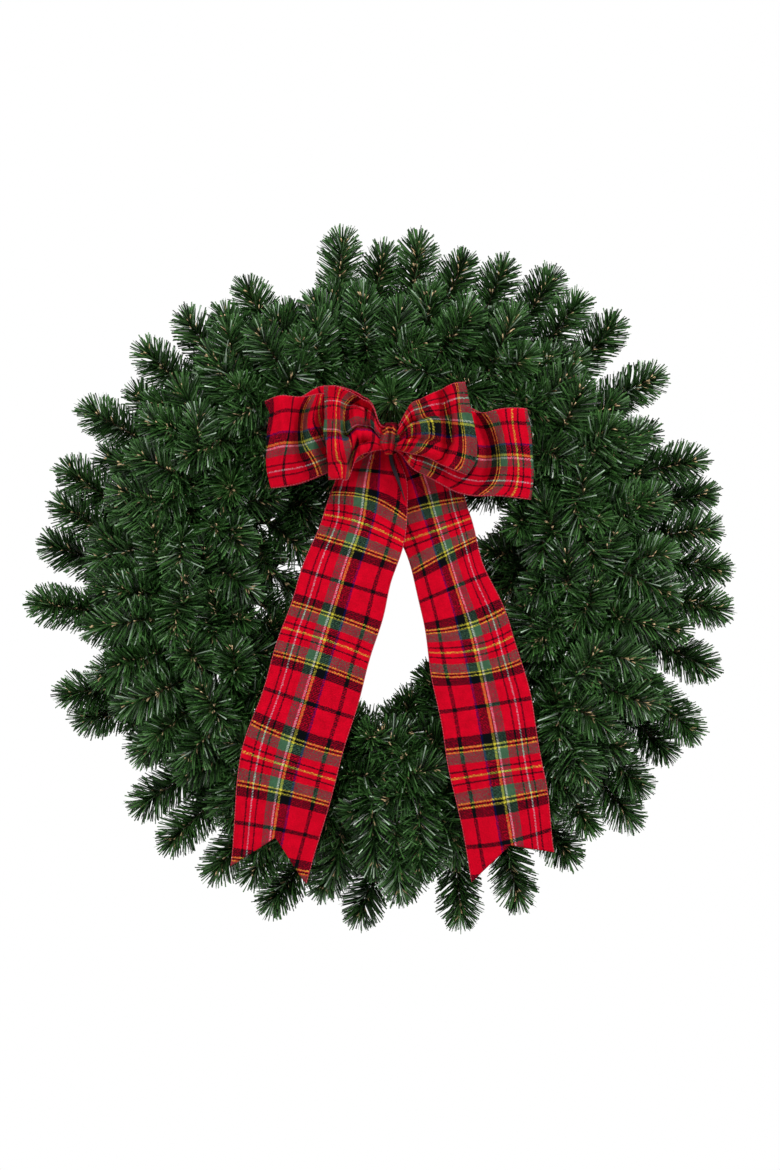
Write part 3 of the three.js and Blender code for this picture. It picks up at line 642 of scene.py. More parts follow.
def loop_surface(loop, u, v):
    """The cloth of a loop: u runs out along its front and back along its rear, and v across, -1 to 1. The
    plan is a drop with its point in the knot. Height goes evenly from the lower edge's curve to the upper's.
    Pleats are ridges that fan out from the knot, bunched at their roots, and each crease is a bell-shaped dip
    on the front along a bent line."""
    out = (1 - np.cos(TURN * u)) / 2
    front = np.clip(np.sin(TURN * u) * 1.6, 0, 1)
    rear = np.clip(-np.sin(TURN * u) * 1.6, 0, 1)
    distance = loop["reach"] * out
    full = smooth((distance - KNOT_HALF - 1) / GATHER_LENGTH)
    low = smooth_through(distance, loop["bottom"])
    high = smooth_through(distance, loop["top"]) + rear * smooth_through(distance, loop["rear_lift"])
    half = (high - low) / 2
    bulge = smooth_through(v, loop["bulge"]) * smooth(out * 1.6 - 0.6)
    x = KNOT_X + loop["side"] * (LOOP_ROOT + distance + bulge)
    start, end = loop["ends"]
    in_knot = start + (end - start) * smooth(u)
    opened = loop["middle"] - loop["depth"] * np.sin(TURN * u)
    wave = np.sin(loop["folds"] * TURN * out + loop["phase"] + 0.7 * v) * loop["fold"]
    y = in_knot + (opened - in_knot) * full + wave * full * (1 - 0.6 * out)
    fan = TURN * loop["pleats"] * (v + 1) / 2 + loop["phase"] + 0.5 * np.sin(3 * v + distance / 23)
    size = loop["pleat"] * smooth((distance - 7) / 17) * (1 - smooth((distance - 34) / 46))
    size = size + 2.2 * (1 - full)
    y = y - size * (0.5 - 0.5 * np.cos(fan)) * (1 + 0.35 * np.cos(0.5 * fan + 1))
    puff = 0.5 - 0.5 * np.cos(TURN * (v + 1) + 0.9 * np.sin(distance / 7))
    y = y - front * loop["puff"] * bell((distance - 14) / 5.5) * puff
    crumple = np.sin(0.5 * distance + 3 * v + loop["phase"]) * np.sin(0.27 * distance - 7 * v + 1)
    y = y - 2.9 * crumple * smooth((distance - 9) / 9) * (1 - smooth((distance - 24) / 50))
    bunch = np.minimum(1, size / 3) * 0.75 * half / (np.pi * loop["pleats"])
    z = (high + low) / 2 + v * half - bunch * np.sin(fan) * (1 - v * v)
    for line, wide, deep, at, reach in loop["creases"]:
        away = (distance - smooth_through(v, line)) / wide
        y = y + front * deep * bell(away * (1 + 0.35 * np.tanh(away))) * bell((v - at) / reach)
    return np.stack([x, y, z], -1)


def corner_run(tail, u, v):
    """How much further a tail runs than its middle line: more from its cut on, and towards a corner."""
    return np.where(v < 0, *tail["corners"]) * np.abs(v) * np.clip((u - TAIL_CUT) / (1 - TAIL_CUT), 0, 1)


def tail_surface(tail, u, v):
    """The cloth of a tail: u runs down its centre line and v across, -1 to 1. Its last stretch is longer
    towards the corners, which cuts the swallowtail. Its top has pleats that fan out from the knot, and soft
    waves cross it further down."""
    step = 0.01
    x, z = along(tail["x"], u), along(tail["z"], u)
    lower, upper = np.minimum(1, u + step), np.maximum(0, u - step)
    down = np.stack([along(tail[k], lower) - along(tail[k], upper) for k in "xz"])
    down = down / np.linalg.norm(down, axis=0)
    half = along(tail["half"], u) + 0.9 * np.sin(34 * u + 2 * v + 1) * smooth(u / 0.3)
    cut = corner_run(tail, u, v)
    roll = tail["turn"] * v * half * smooth(u / 0.3)
    wave = 2.2 * np.sin(9 * u + 1.4 * v) * smooth((u - 0.1) / 0.3)
    ripple = 1.1 * np.sin(23 * u + 2.6 * v + 1) * smooth((u - 0.15) / 0.3)
    fan = TURN * 3.3 * (v + 1) / 2 + 0.6
    pleat = -4.2 * (0.5 - 0.5 * np.cos(fan)) * smooth(u / 0.05)
    pleat = pleat * (1 - smooth((u - 0.08) / 0.2)) * (1 - v ** 4)
    y = along(tail["y"], u) + roll + wave + ripple + pleat
    return np.stack([x - down[1] * v * half + down[0] * cut, y, z + down[0] * v * half + down[1] * cut], -1)


def cloth_grid(surface, spec, grid):
    """A ribbon's grid: its points, the distance down each thread from the knot, and the place across, v."""
    u, v = surface_grid(*grid)
    points = surface(spec, u, v)
    return points, run_down(points), v


def cloth_piece(name, points, length, share, finish, slot, replaced):
    """A sheet of cloth from a grid of points, with its thickness added evenly on both faces."""
    corners = sheet_faces(*points.shape[:2])
    flat = np.stack([share.ravel(), length.ravel()], -1)
    piece = make_piece(name, points.reshape(-1, 3), corners, flat[corners], finish, slot, replaced)
    wall = piece.modifiers.new("cloth_thickness", "SOLIDIFY")
    wall.thickness = CLOTH_THICKNESS * METRES
    wall.offset = 0
    return piece


def edge_piece(name, edges, finish):
    """The overlocked threads along a ribbon's edges: round tubes whose radius swells at each stitch."""
    parts = []
    for edge in edges:
        at = np.arange(0, lengths_along(edge)[-1], EDGE_STEP)
        line, ahead = read_line(edge, at)
        swell = EDGE_RADIUS * (1 + 0.14 * np.sin(at * TURN / STITCH_PITCH))
        parts.append(tube(line, ahead, np.array([0.0, -1.0, 0.02]), swell, 5, at))
    return make_piece(name, *joined(parts), finish, "tartan_ribbon")


STRIPE_LEVELS = (1, 1 / 3, -1 / 3, -1)
REAR_GATHER = 1.6


def weft_places(spec, points, v, run):
    """The place in the sett of each point of a loop. On the front it is read at the four levels across by a
    curve through the stripes, and between them by the cubic through the four. From the end on, the back adds
    its own length and what its gathers take up."""
    distance = np.abs(points[..., 0] - KNOT_X) - LOOP_ROOT
    place = np.zeros_like(distance)
    for k, level in enumerate(STRIPE_LEVELS):
        pairs = sorted((stripe[k + 1], stripe[0]) for stripe in spec["stripes"])
        others = [m for m in STRIPE_LEVELS if m != level]
        share = np.prod([(v - m) / (level - m) for m in others], axis=0)
        place = place + share * smooth_through(distance, pairs)
    half_way = len(run) // 2
    outward = np.sign(spec["stripes"][0][0] - spec["stripes"][-1][0])
    place[half_way:] = place[half_way] + outward * REAR_GATHER * (run[half_way:] - run[half_way])
    return place


def make_loop(name, spec, cloth, thread):
    """A loop with its two threaded edges."""
    points, run, v = cloth_grid(loop_surface, spec, LOOP_GRID)
    share = (1 - v) / 2 if spec["reverse"] else (v + 1) / 2
    length = weft_places(spec, points, v, run)
    piece = cloth_piece(name + "_cloth", points, length, share, cloth, "tartan_ribbon", [name])
    edging = edge_piece(name + "_edging", [points[:, 0], points[:, -1]], thread)
    return points


def make_tail(name, spec, cloth, thread):
    """A tail with its two threaded edges. A place on it is as far from the knot as the same place of its
    middle line, further where the corners run on, and nearer by the sag, which goes across as the parabola
    through its left, middle and right values."""
    points, run, v = cloth_grid(tail_surface, spec, TAIL_GRID)
    middle = run[:, TAIL_GRID[1] // 2][:, None]
    u = np.linspace(0, 1, TAIL_GRID[0] + 1)[:, None]
    share = (1 - v) / 2 if spec["reverse"] else (v + 1) / 2
    first, last = spec["tuck"]
    share = share + (first - (first + last) * share) * (1 - smooth((u - 0.2) / 0.13))
    left, centre, right = (smooth_through(u, [(row[0], row[k]) for row in spec["sag"]]) for k in (1, 2, 3))
    sag = centre + (right - left) / 2 * v + ((right + left) / 2 - centre) * v * v
    length = middle + corner_run(spec, u, v) + spec["weft"] - sag
    piece = cloth_piece(name + "_cloth", points, length, share, cloth, "tartan_ribbon", [name])
    edging = edge_piece(name + "_edging", [points[:, 0], points[:, -1]], thread)
    return points


# The knot's half width, half depth and half height, how far it stands to the right of the loops' roots, and
# the power that squares its section.
KNOT_SIZE = (8.6, 12.4, 16.5)
KNOT_SHIFT = 2
KNOT_SQUARE = 0.62


def make_knot(cloth):
    """The knot: a strip of the ribbon, half as wide, wound once round the gathered loops and drawn into two
    deep pleats with finer ones on them. Its section is a rounded box. The pleats are cosines of the place
    across, which lean as they go round. The strip is widest at its top, and bulges at its left."""
    a, v = surface_grid(*KNOT_GRID)
    turn = TURN * (a + 0.25)
    up, back = squared(np.sin(turn), KNOT_SQUARE), squared(np.cos(turn), KNOT_SQUARE)
    half_width, half_depth, half_height = KNOT_SIZE
    lean = 0.5 * np.sin(turn + 0.6) + 0.35 * np.sin(2 * turn)
    pleats = 1.1 * np.cos(TURN * 3.3 * v + 2 * lean) - 4.1 * np.cos(TURN * v + lean)
    pleats = pleats * (0.1 + 0.9 * np.abs(back) ** 1.5)
    taper = 0.78 + 0.36 * np.sin(turn) + 0.3 * smooth(back)
    lobe = 5.5 * smooth(-1.3 * v) * bell((up + 0.35) / 0.4) * smooth(-1.5 * back)
    wave = v - 0.16 * np.sin(2 * TURN * v + lean)
    x = KNOT_X + KNOT_SHIFT + half_width * taper * wave + 1.2 * np.sin(turn + 0.4) - lobe
    crown = (half_height + 0.15 * pleats) * up - 3.4 * np.square(v) * smooth(up)
    points = np.stack([x, KNOT_Y + (half_depth + pleats) * back, KNOT_Z + crown], -1)
    length = KNOT_WEFT - run_down(points).mean(1)[:, None] + 3 * v * v
    share = 0.72 + 0.12 * v
    piece = cloth_piece("bow_knot_cloth", points, length, share, cloth, "tartan_ribbon", ["bow_knot"])
    return points


# The strap that ties the bow to the ring

STRAP_X, STRAP_WIDTH, STRAP_THICKNESS, STRAP_Y = 7.5, 4.0, 1.2, -92.5
HOOK = WIRE_RADIUS + 0.9 + STRAP_THICKNESS / 2
STRAP_SIDES = 12
STRAP_SQUARE = 0.45
STRAP_STEP = 1.2
STRAP_TAPER = 34
STRAP_FREE_END = [(23, -92.6, 84), (19, -92.8, 96), (14, -92.9, 110), (9, STRAP_Y, 124)]
STRAP_RISE = [(STRAP_Y, 134), (-91.5, 146), (-86, 157), (-70, 170), (-48, 186), (-26, 200)]


def make_strap(plastic):
    """A flat strap from its tapered free end, up behind the knot and in a hook over the ring's wire. Its
    section is a flat oval with squared sides."""
    hook_turns = np.radians(np.arange(-30, 181, 30))
    line = list(STRAP_FREE_END) + [(STRAP_X, y, z) for y, z in STRAP_RISE]
    line += [(STRAP_X, HOOK * np.sin(t), RING_RADIUS + HOOK * np.cos(t)) for t in hook_turns]
    line += [(STRAP_X, -12, RING_RADIUS - HOOK - 1)]
    path = curve_through(line)
    at = np.arange(0, lengths_along(path)[-1], STRAP_STEP)
    points, ahead = read_line(path, at)
    across, up = frames_on(ahead, np.array([1.0, 0.0, 0.0]))
    turn = (np.arange(STRAP_SIDES) + 0.5) * TURN / STRAP_SIDES
    wide = squared(np.cos(turn), STRAP_SQUARE) * STRAP_WIDTH / 2
    thick = squared(np.sin(turn), STRAP_SQUARE) * STRAP_THICKNESS / 2
    taper = 0.25 + 0.75 * smooth(at / STRAP_TAPER)
    rings = points[:, None] + across[:, None] * (wide * taper[:, None])[..., None]
    rings = rings + up[:, None] * (thick * (0.5 + 0.5 * taper[:, None]))[..., None]
    return make_piece("bow_strap_fine", *loft(rings, at), plastic, "strap", ["bow_strap"])


# The twigs

# The tips that make the outline, anticlockwise from the right: angle in degrees, reach from the wreath's
# centre, and how far the tip stands forward of the ring.
OUTLINE_TIPS = [
    (2, 380, 18), (9, 372, 34), (15, 378, 12), (21, 377, 30), (29, 345, 8), (37, 381, 24),
    (48, 389, 14), (55, 380, 38), (61, 390, 20), (69, 376, 32), (76, 372, 10), (84, 382, 26),
    (90, 370, 12), (97, 386, 28), (109, 318, 34), (115, 364, 16), (121, 350, 36), (127, 370, 10),
    (136, 372, 28), (143, 350, 14), (150, 382, 32), (156, 345, 8), (161, 377, 26), (167, 372, 36),
    (174, 379, 12), (184, 383, 78), (192, 305, 6), (200, 377, 34), (205, 374, 14), (214, 335, 28),
    (223, 375, 12), (231, 380, 30), (240, 381, 16), (246, 365, 36), (251, 388, 10), (259, 356, 26),
    (266, 381, 14), (274, 350, 32), (283, 392, 12), (293, 390, 30), (304, 377, 16), (310, 360, 36),
    (316, 389, 12), (321, 371, 28), (329, 374, 10), (334, 385, 34), (345, 378, 20), (355, 380, 36),
]
TWIGS = len(OUTLINE_TIPS)
TIP_NEEDLES = 20
FRONT_PLANE, BEHIND_LOOPS, BEHIND_TAILS, BACK_PLANE = -104, -84, -76, 22
# The loops' middle across, half the width and height of the field where they press foliage back, and how far
# beside a tail it is pressed back.
LOOPS_X = KNOT_X + 10
LOOPS_FIELD = (165, 62)
TAIL_MARGIN = 14
TAIL_STEPS = np.arange(0, 1.0001, 0.05)
PRESS_ROOM = 27
# How near the middle a stem may end, by its angle in degrees. Its needles reach about 20 mm further.
HOLE_EDGE = [
    (0, 116), (8, 108), (15, 118), (21, 152), (27, 178), (34, 184), (40, 158), (46, 116), (60, 104),
    (120, 104), (146, 106), (154, 140), (162, 106), (170, 104), (176, 122), (182, 104), (191, 140),
    (199, 108), (230, 118), (250, 146), (264, 168), (277, 144), (289, 125), (302, 114), (320, 112),
    (345, 124), (353, 140), (360, 116),
]


def front_limit(x, z):
    """How far forward foliage may stand at a place: behind the loops and the tails it is pressed back."""
    limit = FRONT_PLANE
    if abs(x - LOOPS_X) < LOOPS_FIELD[0] and abs(z - KNOT_Z) < LOOPS_FIELD[1]:
        limit = BEHIND_LOOPS
    for tail in TAILS.values():
        away = np.hypot(x - along(tail["x"], TAIL_STEPS), z - along(tail["z"], TAIL_STEPS))
        if (away < along(tail["half"], TAIL_STEPS) + TAIL_MARGIN).any():
            limit = BEHIND_TAILS
    return limit


def pressed(end):
    """A tip, moved back as far as the bow presses it, and out to the edge of the hole in the middle."""
    angle, radius = np.degrees(np.arctan2(end[2], end[0])) % 360, np.hypot(end[0], end[2])
    out = max(1, smooth_through(angle, HOLE_EDGE) / radius)
    x, z = end[0] * out, end[2] * out
    return np.array([x, max(end[1], front_limit(x, z) + PRESS_ROOM), z])


def twig_stems(i):
    """The stems of twig i, each as its seed, its control points, and the numbers of those where needles stop
    and start. The outward stem crosses behind the ring and goes on: inwards on even twigs, and round the wire
    to the front on odd ones. Even twigs have a second stem, which comes round the outside of the wire to the
    front."""
    angle, reach, forward = OUTLINE_TIPS[i]
    tip = np.radians(angle)
    seat = twig_seat(i)
    between = seat * 0.6 + tip * 0.4 + spread(i, 9, 0.04)
    outward = [
        polar(tip, reach - TIP_NEEDLES, -forward),
        polar(between, RING_RADIUS + 62, 1 - forward * 0.25 + spread(i, 1, 4)),
        polar(seat, RING_RADIUS + 9, SEAT), polar(seat, RING_RADIUS, SEAT),
    ]
    bend = SEAT * 0.72
    if i % 2 == 0:
        inner = pressed(polar(seat + spread(i, 2, 0.08), 138 + spread(i, 3, 5), -12 - 22 * draw(i, 4)))
        end = pressed(polar(seat + spread(i, 15, 0.11), 268 + spread(i, 6, 34), -60 - 20 * draw(i, 7)))
        second = [
            polar(seat, RING_RADIUS - 1, SEAT), polar(seat, RING_RADIUS + bend, bend),
            polar(seat, RING_RADIUS + SEAT + 0.4, -1),
            polar(seat, RING_RADIUS + 20 + spread(i, 8, 6), end[1] * 0.42), end,
        ]
        first = outward + [polar(seat, RING_RADIUS - 9, SEAT), inner]
        return [(i, first, 3, 3), (i + 200, second, None, 2)]
    end = pressed(polar(seat + spread(i, 15, 0.12), 171 + spread(i, 6, 20), -64 - 22 * draw(i, 7)))
    whole = outward + [
        polar(seat, RING_RADIUS - bend, bend), polar(seat, RING_RADIUS - SEAT - 0.4, -1),
        polar(seat, RING_RADIUS - 12 + spread(i, 8, 4), end[1] * 0.4), end,
    ]
    return [(i, whole, 3, 5)]


# A twig's side shoots. Each rises from a stem near the ring to its knee, and its brush goes on from there:
# how far round from the twig the knee is, its distance from the wreath's centre, its depth, the brush's
# heading from straight outwards, its tilt to the front, and its length. Turns and headings change sides from
# twig to twig. The first OUTER_SHOOTS leave the outward stem, and INWARD_SHOOT the one that goes inwards.
SIDE_SHOOTS = [
    (0.045, 247, -38, 0.22, 0.1, 60), (-0.060, 240, 0, -0.25, -0.05, 54),
    (0.010, 236, -60, -0.18, 0.12, 62), (0.065, 160, -30, 2.95, 0.15, 58),
    (-0.060, 222, -62, 1.60, 0.25, 52), (0.040, 192, -60, -2.20, 0.25, 50),
]
OUTER_SHOOTS = 3
INWARD_SHOOT = 3
BARE_FOOT = 16
# Shoots that fill places of their own, by twig: the knee and the end of each.
PLACED_SHOOTS = {
    1: [((150, -30, 26), (114, -42, 31))],
    11: [((7, -56, 200), (9, -106, 188))],
    21: [((-126, -34, 62), (-87, -44, 31))],
    35: [((-12, -68, -228), (-9, -74, -300))],
    36: [((12, -62, -250), (17, -70, -328))],
    37: [((38, -62, -232), (38, -72, -306))],
}


def front_root(i, lines):
    """The stem of twig i that comes to the front, and how many spans along it its shoots leave it."""
    return (lines[0], 5.5) if i % 2 == 1 else (lines[1], 2.5)


def shoot_stems(i, lines):
    """The side shoots of twig i, each through its root on a stem, its knee and its end. The outer ones leave
    the outward stem, and the others the stem that goes inwards or to the front."""
    seat, hand = twig_seat(i), 1 - 2 * (i % 2)
    shoots = []
    for k, (turn, reach, depth, heading, tilt, brush) in enumerate(SIDE_SHOOTS):
        angle = seat + hand * turn + spread(i, 20 + k, 0.035)
        knee = pressed(polar(angle, reach + spread(i, 30 + k, 12), depth + spread(i, 40 + k, 9)))
        heading = angle + hand * heading + spread(i, 60 + k, 0.32 if k < OUTER_SHOOTS else 0.55)
        tilt = tilt + spread(i, 70 + k, 0.22)
        out = np.array([np.cos(heading) * np.cos(tilt), -np.sin(tilt), np.sin(heading) * np.cos(tilt)])
        end = pressed(knee + out * (brush + spread(i, 80 + k, 8)))
        line, share = front_root(i, lines)
        if k < OUTER_SHOOTS:
            line, share = lines[0], 1.8
        elif k == INWARD_SHOOT and i % 2 == 0:
            line, share = lines[0], 4.3
        root = line[int((share + spread(i, 50 + k, 0.15)) * SPAN_POINTS)]
        way = [root, knee * 0.55 + root * 0.45, knee * 0.6 + end * 0.4, end]
        shoots.append((i + 300 + 100 * k, way, None, 0))
    line, share = front_root(i, lines)
    for k, (knee, end) in enumerate(PLACED_SHOOTS.get(i, [])):
        way = [line[int(share * SPAN_POINTS)], np.array(knee), np.array(end)]
        shoots.append((i + 1000 + 100 * k, way, None, 0))
    return shoots


def twig_seat(i):
    """The angle round the ring at which twig i is wound on."""
    return np.radians((i + 0.5) * 360 / TWIGS)


NEEDLE_LENGTH = 27
NEEDLE_WIDTH = 2.1
NEEDLE_TIP_WIDTH = 1.4
FLATTENED = 0.55
NEEDLES_PER_MM = 4.35
CORE_RADIUS = 1.2
TUFT_LENGTH = 18
CROWDING = 1.25
# The share of needles painted pale as glints, and the tone they get.
PAINTED_GLINT_SHARE = 0.03
PAINTED_GLINT_TONE = 0.985
RING_CLEAR = 5
NAIL_CLEAR = 7
# Small gaps that light comes through: the middle of each, as x and z, and its radius.
SMALL_GAPS = [
    (-128, 58, 11), (-120, 66, 7), (-109, 13, 13), (-118, -2, 9), (-137, -31, 9), (-128, -34, 7),
    (134, -19, 9), (-3, -154, 8), (-178, -106, 8),
]


def bow_back(grids):
    """The bow's rear as a depth for each small square of the front view: the largest y of the cloth there and
    in the squares around it, and far forward where there is none."""
    cell, reach, across = 3.0, 3, 800
    size = int(across / cell)
    depth = np.full((size, size), -1e3)
    points = np.vstack([g.reshape(-1, 3) for g in grids])
    i, k = ((points[:, c] / cell + size / 2).astype(int) for c in (0, 2))
    np.maximum.at(depth, (i, k), points[:, 1])
    grown = depth.copy()
    for a in range(-reach, reach + 1):
        for b in range(-reach, reach + 1):
            grown = np.maximum(grown, np.roll(depth, (a, b), (0, 1)))

    def limit(p):
        """The depth at the squares that points are in."""
        at = np.clip((p[..., [0, 2]] / cell + size / 2).astype(int), 0, size - 1)
        return grown[at[..., 0], at[..., 1]]

    return limit


def clear_of_gaps(root, end, number):
    """Which needles stay out of the small gaps, by three places along each. Draws make the rims ragged."""
    clear = np.full(len(root), True)
    ragged = 0.2 + draw(number, 13)
    for x, z, radius in SMALL_GAPS:
        for share in (0.2, 0.6, 1.0):
            place = root + (end - root) * share
            clear &= np.hypot(place[:, 0] - x, place[:, 2] - z) > radius * ragged
    return clear


def needle_tones(root, tangent, seed, number):
    """The tone of each needle, from dark at 0 to pale at 1: a draw, lowered near the hole in the middle as
    painted shade, and raised where the stem points to the front as painted light. A few needles get the
    palest tone by a draw: painted glints."""
    # Painted shade: needles near the hole in the middle are darkened.
    inner = 1 - smooth((np.hypot(root[:, 0], root[:, 2]) - 140) / 130)
    tone = np.clip(draw(number, 6) * 0.92 + 0.04 + spread(seed, 7, 0.06) - 0.14 * inner, 0.01, 0.99)
    # Painted light: needles on stems that point to the front are made paler, the others a little darker.
    facing = np.clip(-tangent[:, 1], 0, 1)
    tone = tone + 0.4 * facing * np.clip(0.85 - tone, 0, 1) - 0.03 * (1 - facing)
    # Painted glints: a few needles, picked by a draw, get the palest tone.
    return np.where(draw(number, 12) < PAINTED_GLINT_SHARE, PAINTED_GLINT_TONE, np.maximum(tone, 0.01))


def spray_needles(line, side, at, tip_at, heading, seed, bow_limit):
    """The needles of one spray, rooted on its core at the distances at. They stand round the stem a golden
    turn apart, pressed towards the plane of the wreath, and lean to the tip, more so near it. Each is a strip
    with a quarter turn in it: a flat edge at its root, and a narrower one across it at its end. One that
    would reach into the bow or the wall is laid back, and one in a small gap or over the nail is left out."""
    count = len(at)
    number = seed * 1000 + np.arange(count)
    root, tangent = read_line(line, at)
    tangent = tangent * heading
    across, up = frames_on(tangent, side)
    turn = (np.arange(count) * GOLDEN_TURN + spread(number, 1, 0.5))[:, None]
    out = unit((across * np.cos(turn) + up * np.sin(turn)) * np.array([1, FLATTENED, 1]))
    close = 1 - smooth(np.abs(tip_at - at) / TUFT_LENGTH)
    lean = np.radians(58 + spread(number, 2, 8) - (30 + spread(number, 11, 23)) * close)[:, None]
    size = (NEEDLE_LENGTH * (1 + spread(number, 3, 0.13)) * (1 - 0.2 * close))[:, None]
    root = root + out * CORE_RADIUS * (1 - 0.5 * close[:, None])
    end = root + (out * np.sin(lean) + tangent * np.cos(lean)) * size
    limit = np.maximum(bow_limit(end), bow_limit((root + end) / 2)) + 2.0
    end[:, 1] = np.minimum(np.maximum(end[:, 1], np.minimum(limit, 10)), BACK_PLANE - 0.8)
    ahead = unit(end - root)
    end = root + ahead * np.minimum(size, np.linalg.norm(end - root, axis=1)[:, None] * 1.1)
    roll = spread(number, 4, np.pi)[:, None]
    flat, rise = frames_on(ahead, tangent)
    flat, rise = flat * np.cos(roll) + rise * np.sin(roll), rise * np.cos(roll) - flat * np.sin(roll)
    wide, narrow = flat * NEEDLE_WIDTH / 2, rise * NEEDLE_TIP_WIDTH / 2
    points = np.stack([root + wide, root - wide, end + narrow, end - narrow], 1)
    clear = (np.hypot(end[:, 0], end[:, 2] - RING_RADIUS) > NAIL_CLEAR) | (end[:, 1] < 0)
    clear &= clear_of_gaps(root, end, number)
    return points[clear], needle_tones(root, tangent, seed, number)[clear]


NEEDLE_FACES = np.array([(0, 1, 2), (0, 3, 1), (2, 3, 0), (2, 1, 3)])
# A needle's corners stand a little apart in V, so that its faces have an area in the map.
NEEDLE_U = np.array([0, 0, 1, 1])
NEEDLE_V = np.array([0.004, -0.004, 0.004, -0.004])


def needle_mesh(points, tone):
    """Points, faces and UVs for needles of four points each: U from root to end, V the needle's tone."""
    count = len(points)
    faces = (np.arange(count)[:, None, None] * 4 + NEEDLE_FACES).reshape(-1, 3)
    uv = np.stack([np.broadcast_to(NEEDLE_U, (count, 4)), tone[:, None] + NEEDLE_V], -1)
    return points.reshape(-1, 3), faces, uv[:, NEEDLE_FACES].reshape(-1, 3, 2)


WIRE_PITCH = 13.0
TWISTED = (np.array([1.35, 0.85, 0.85] * 2), 3.4)
SHOOT_CORE = (np.array([1.3, 0.8] * 2), 5.5)
# The length of wire that would take V from 0 to 1, so that V stays under TAN_FROM.
WIRE_IN_MAP = 600


def stem_wire(line, side, rod):
    """Two strands twisted together: a rod with high and low sides, turned steadily as it goes along."""
    radii, step = rod
    whole = lengths_along(line)[-1]
    at = np.linspace(0, whole, int(whole / step))
    points, ahead = read_line(line, at)
    across, up = frames_on(ahead, side)
    angle = at[:, None] * TURN / WIRE_PITCH + np.arange(len(radii)) * TURN / len(radii)
    taper = np.minimum(1, 0.45 + np.minimum(at, whole - at) / 6)[:, None, None]
    return loft(points[:, None] + around(across, up, angle) * radii[:, None] * taper, at / WIRE_IN_MAP)


TAN_LENGTH = 9
TAN_SPACING = 4.0
TAN_AT_TIP = 4
TO_FRONT = np.array([0, -0.9, 0])


def film_ends(line, side, at, heading, seed):
    """Short tan ends of film that stand out of the twisted wire, more to the front, made as small needles."""
    number = seed * 1000 + np.arange(len(at))
    root, tangent = read_line(line, at)
    tangent = tangent * heading
    across, up = frames_on(tangent, side)
    turn = spread(number, 8, np.pi)[:, None]
    out = unit(across * np.cos(turn) + up * np.sin(turn) + TO_FRONT)
    ahead = unit(out * 0.8 + tangent * 0.6)
    size = (TAN_LENGTH + spread(number, 9, 3))[:, None]
    flat, rise = frames_on(ahead, tangent)
    root = root + out * 0.8
    end = root + ahead * size
    points = np.stack([root + flat * 0.8, root - flat * 0.8, end + rise * 0.7, end - rise * 0.7], 1)
    return needle_mesh(points, np.full(len(at), TAN_TONE))


COIL_WIRE = 0.85
COIL_TURNS = 2.2
COIL_WIDTH = 7.5


def coil_on_ring(seat, seed):
    """The wire's turns round the ring at a twig's seat: a helix that goes round the ring's wire COIL_TURNS
    times."""
    t = np.linspace(0, 1, 30)
    turn = t * TURN * COIL_TURNS + draw(seed, 12) * TURN
    angle = seat + ((t - 0.5) * COIL_WIDTH + spread(seed, 13, 1.0) + 5.5) / RING_RADIUS
    radius = WIRE_RADIUS + COIL_WIRE + 0.3
    centre = np.stack([np.cos(angle), np.zeros_like(t), np.sin(angle)], -1)
    line = centre * (RING_RADIUS + radius * np.cos(turn)[:, None])
    line[:, 1] = radius * np.sin(turn)
    points, ahead = read_line(line, lengths_along(line))
    return tube(points, ahead, np.array([-np.sin(seat), 0.01, np.cos(seat)]), COIL_WIRE, 5, t / 10)


def make_twig(i, film, wire, bow_limit):
    """Twig i: one piece for its needles and one for its wire, with the film's tan ends and the turns round
    the ring. Needles cover each stem from near the ring to its tip."""
    seat = twig_seat(i)
    side = np.array([-np.sin(seat), 0.0, np.cos(seat)])
    stems = twig_stems(i)
    lines = [curve_through(controls) for _, controls, _, _ in stems]
    shoots = shoot_stems(i, lines)
    lines += [curve_through(controls) for _, controls, _, _ in shoots]
    needles, tones, wires = [], [], [coil_on_ring(seat, i)]
    for k, ((seed, _, stop, start), line) in enumerate(zip(stems + shoots, lines)):
        lengths = lengths_along(line)
        whole = lengths[-1]
        sprays = [(lengths[start * SPAN_POINTS] + (RING_CLEAR if k < len(stems) else BARE_FOOT), whole, 1)]
        if stop is not None:
            sprays.append((0, lengths[stop * SPAN_POINTS] - RING_CLEAR, -1))
        for low, high, heading in sprays:
            spray_seed = seed + 50 * heading
            count = int((high - low) * NEEDLES_PER_MM)
            crowd = 1 - (1 - (np.arange(count) + 0.5) / count) ** CROWDING
            tip_at = high if heading > 0 else low
            at = low + high - tip_at + heading * (high - low) * crowd
            points, tone = spray_needles(line, side, at, tip_at, heading, spray_seed, bow_limit)
            needles.append(points)
            tones.append(tone)
            tan_at = low + (high - low) * draw(np.arange(int((high - low) / TAN_SPACING)) + seed * 31, 10)
            tan_at = np.append(tan_at, np.full(TAN_AT_TIP, tip_at))
            wires.append(film_ends(line, side, tan_at, heading, spray_seed))
        wires.append(stem_wire(line, side, TWISTED if k < len(stems) else SHOOT_CORE))
    label = f"{i + 1:02d}"
    made = needle_mesh(np.concatenate(needles), np.concatenate(tones))
    make_piece("needles_" + label, *made, film, "needles", ["sprig_" + label], False, BAKE_MAP)
    make_piece("twig_wire_" + label, *joined(wires), wire, "twig_wire", uv_map=BAKE_MAP)


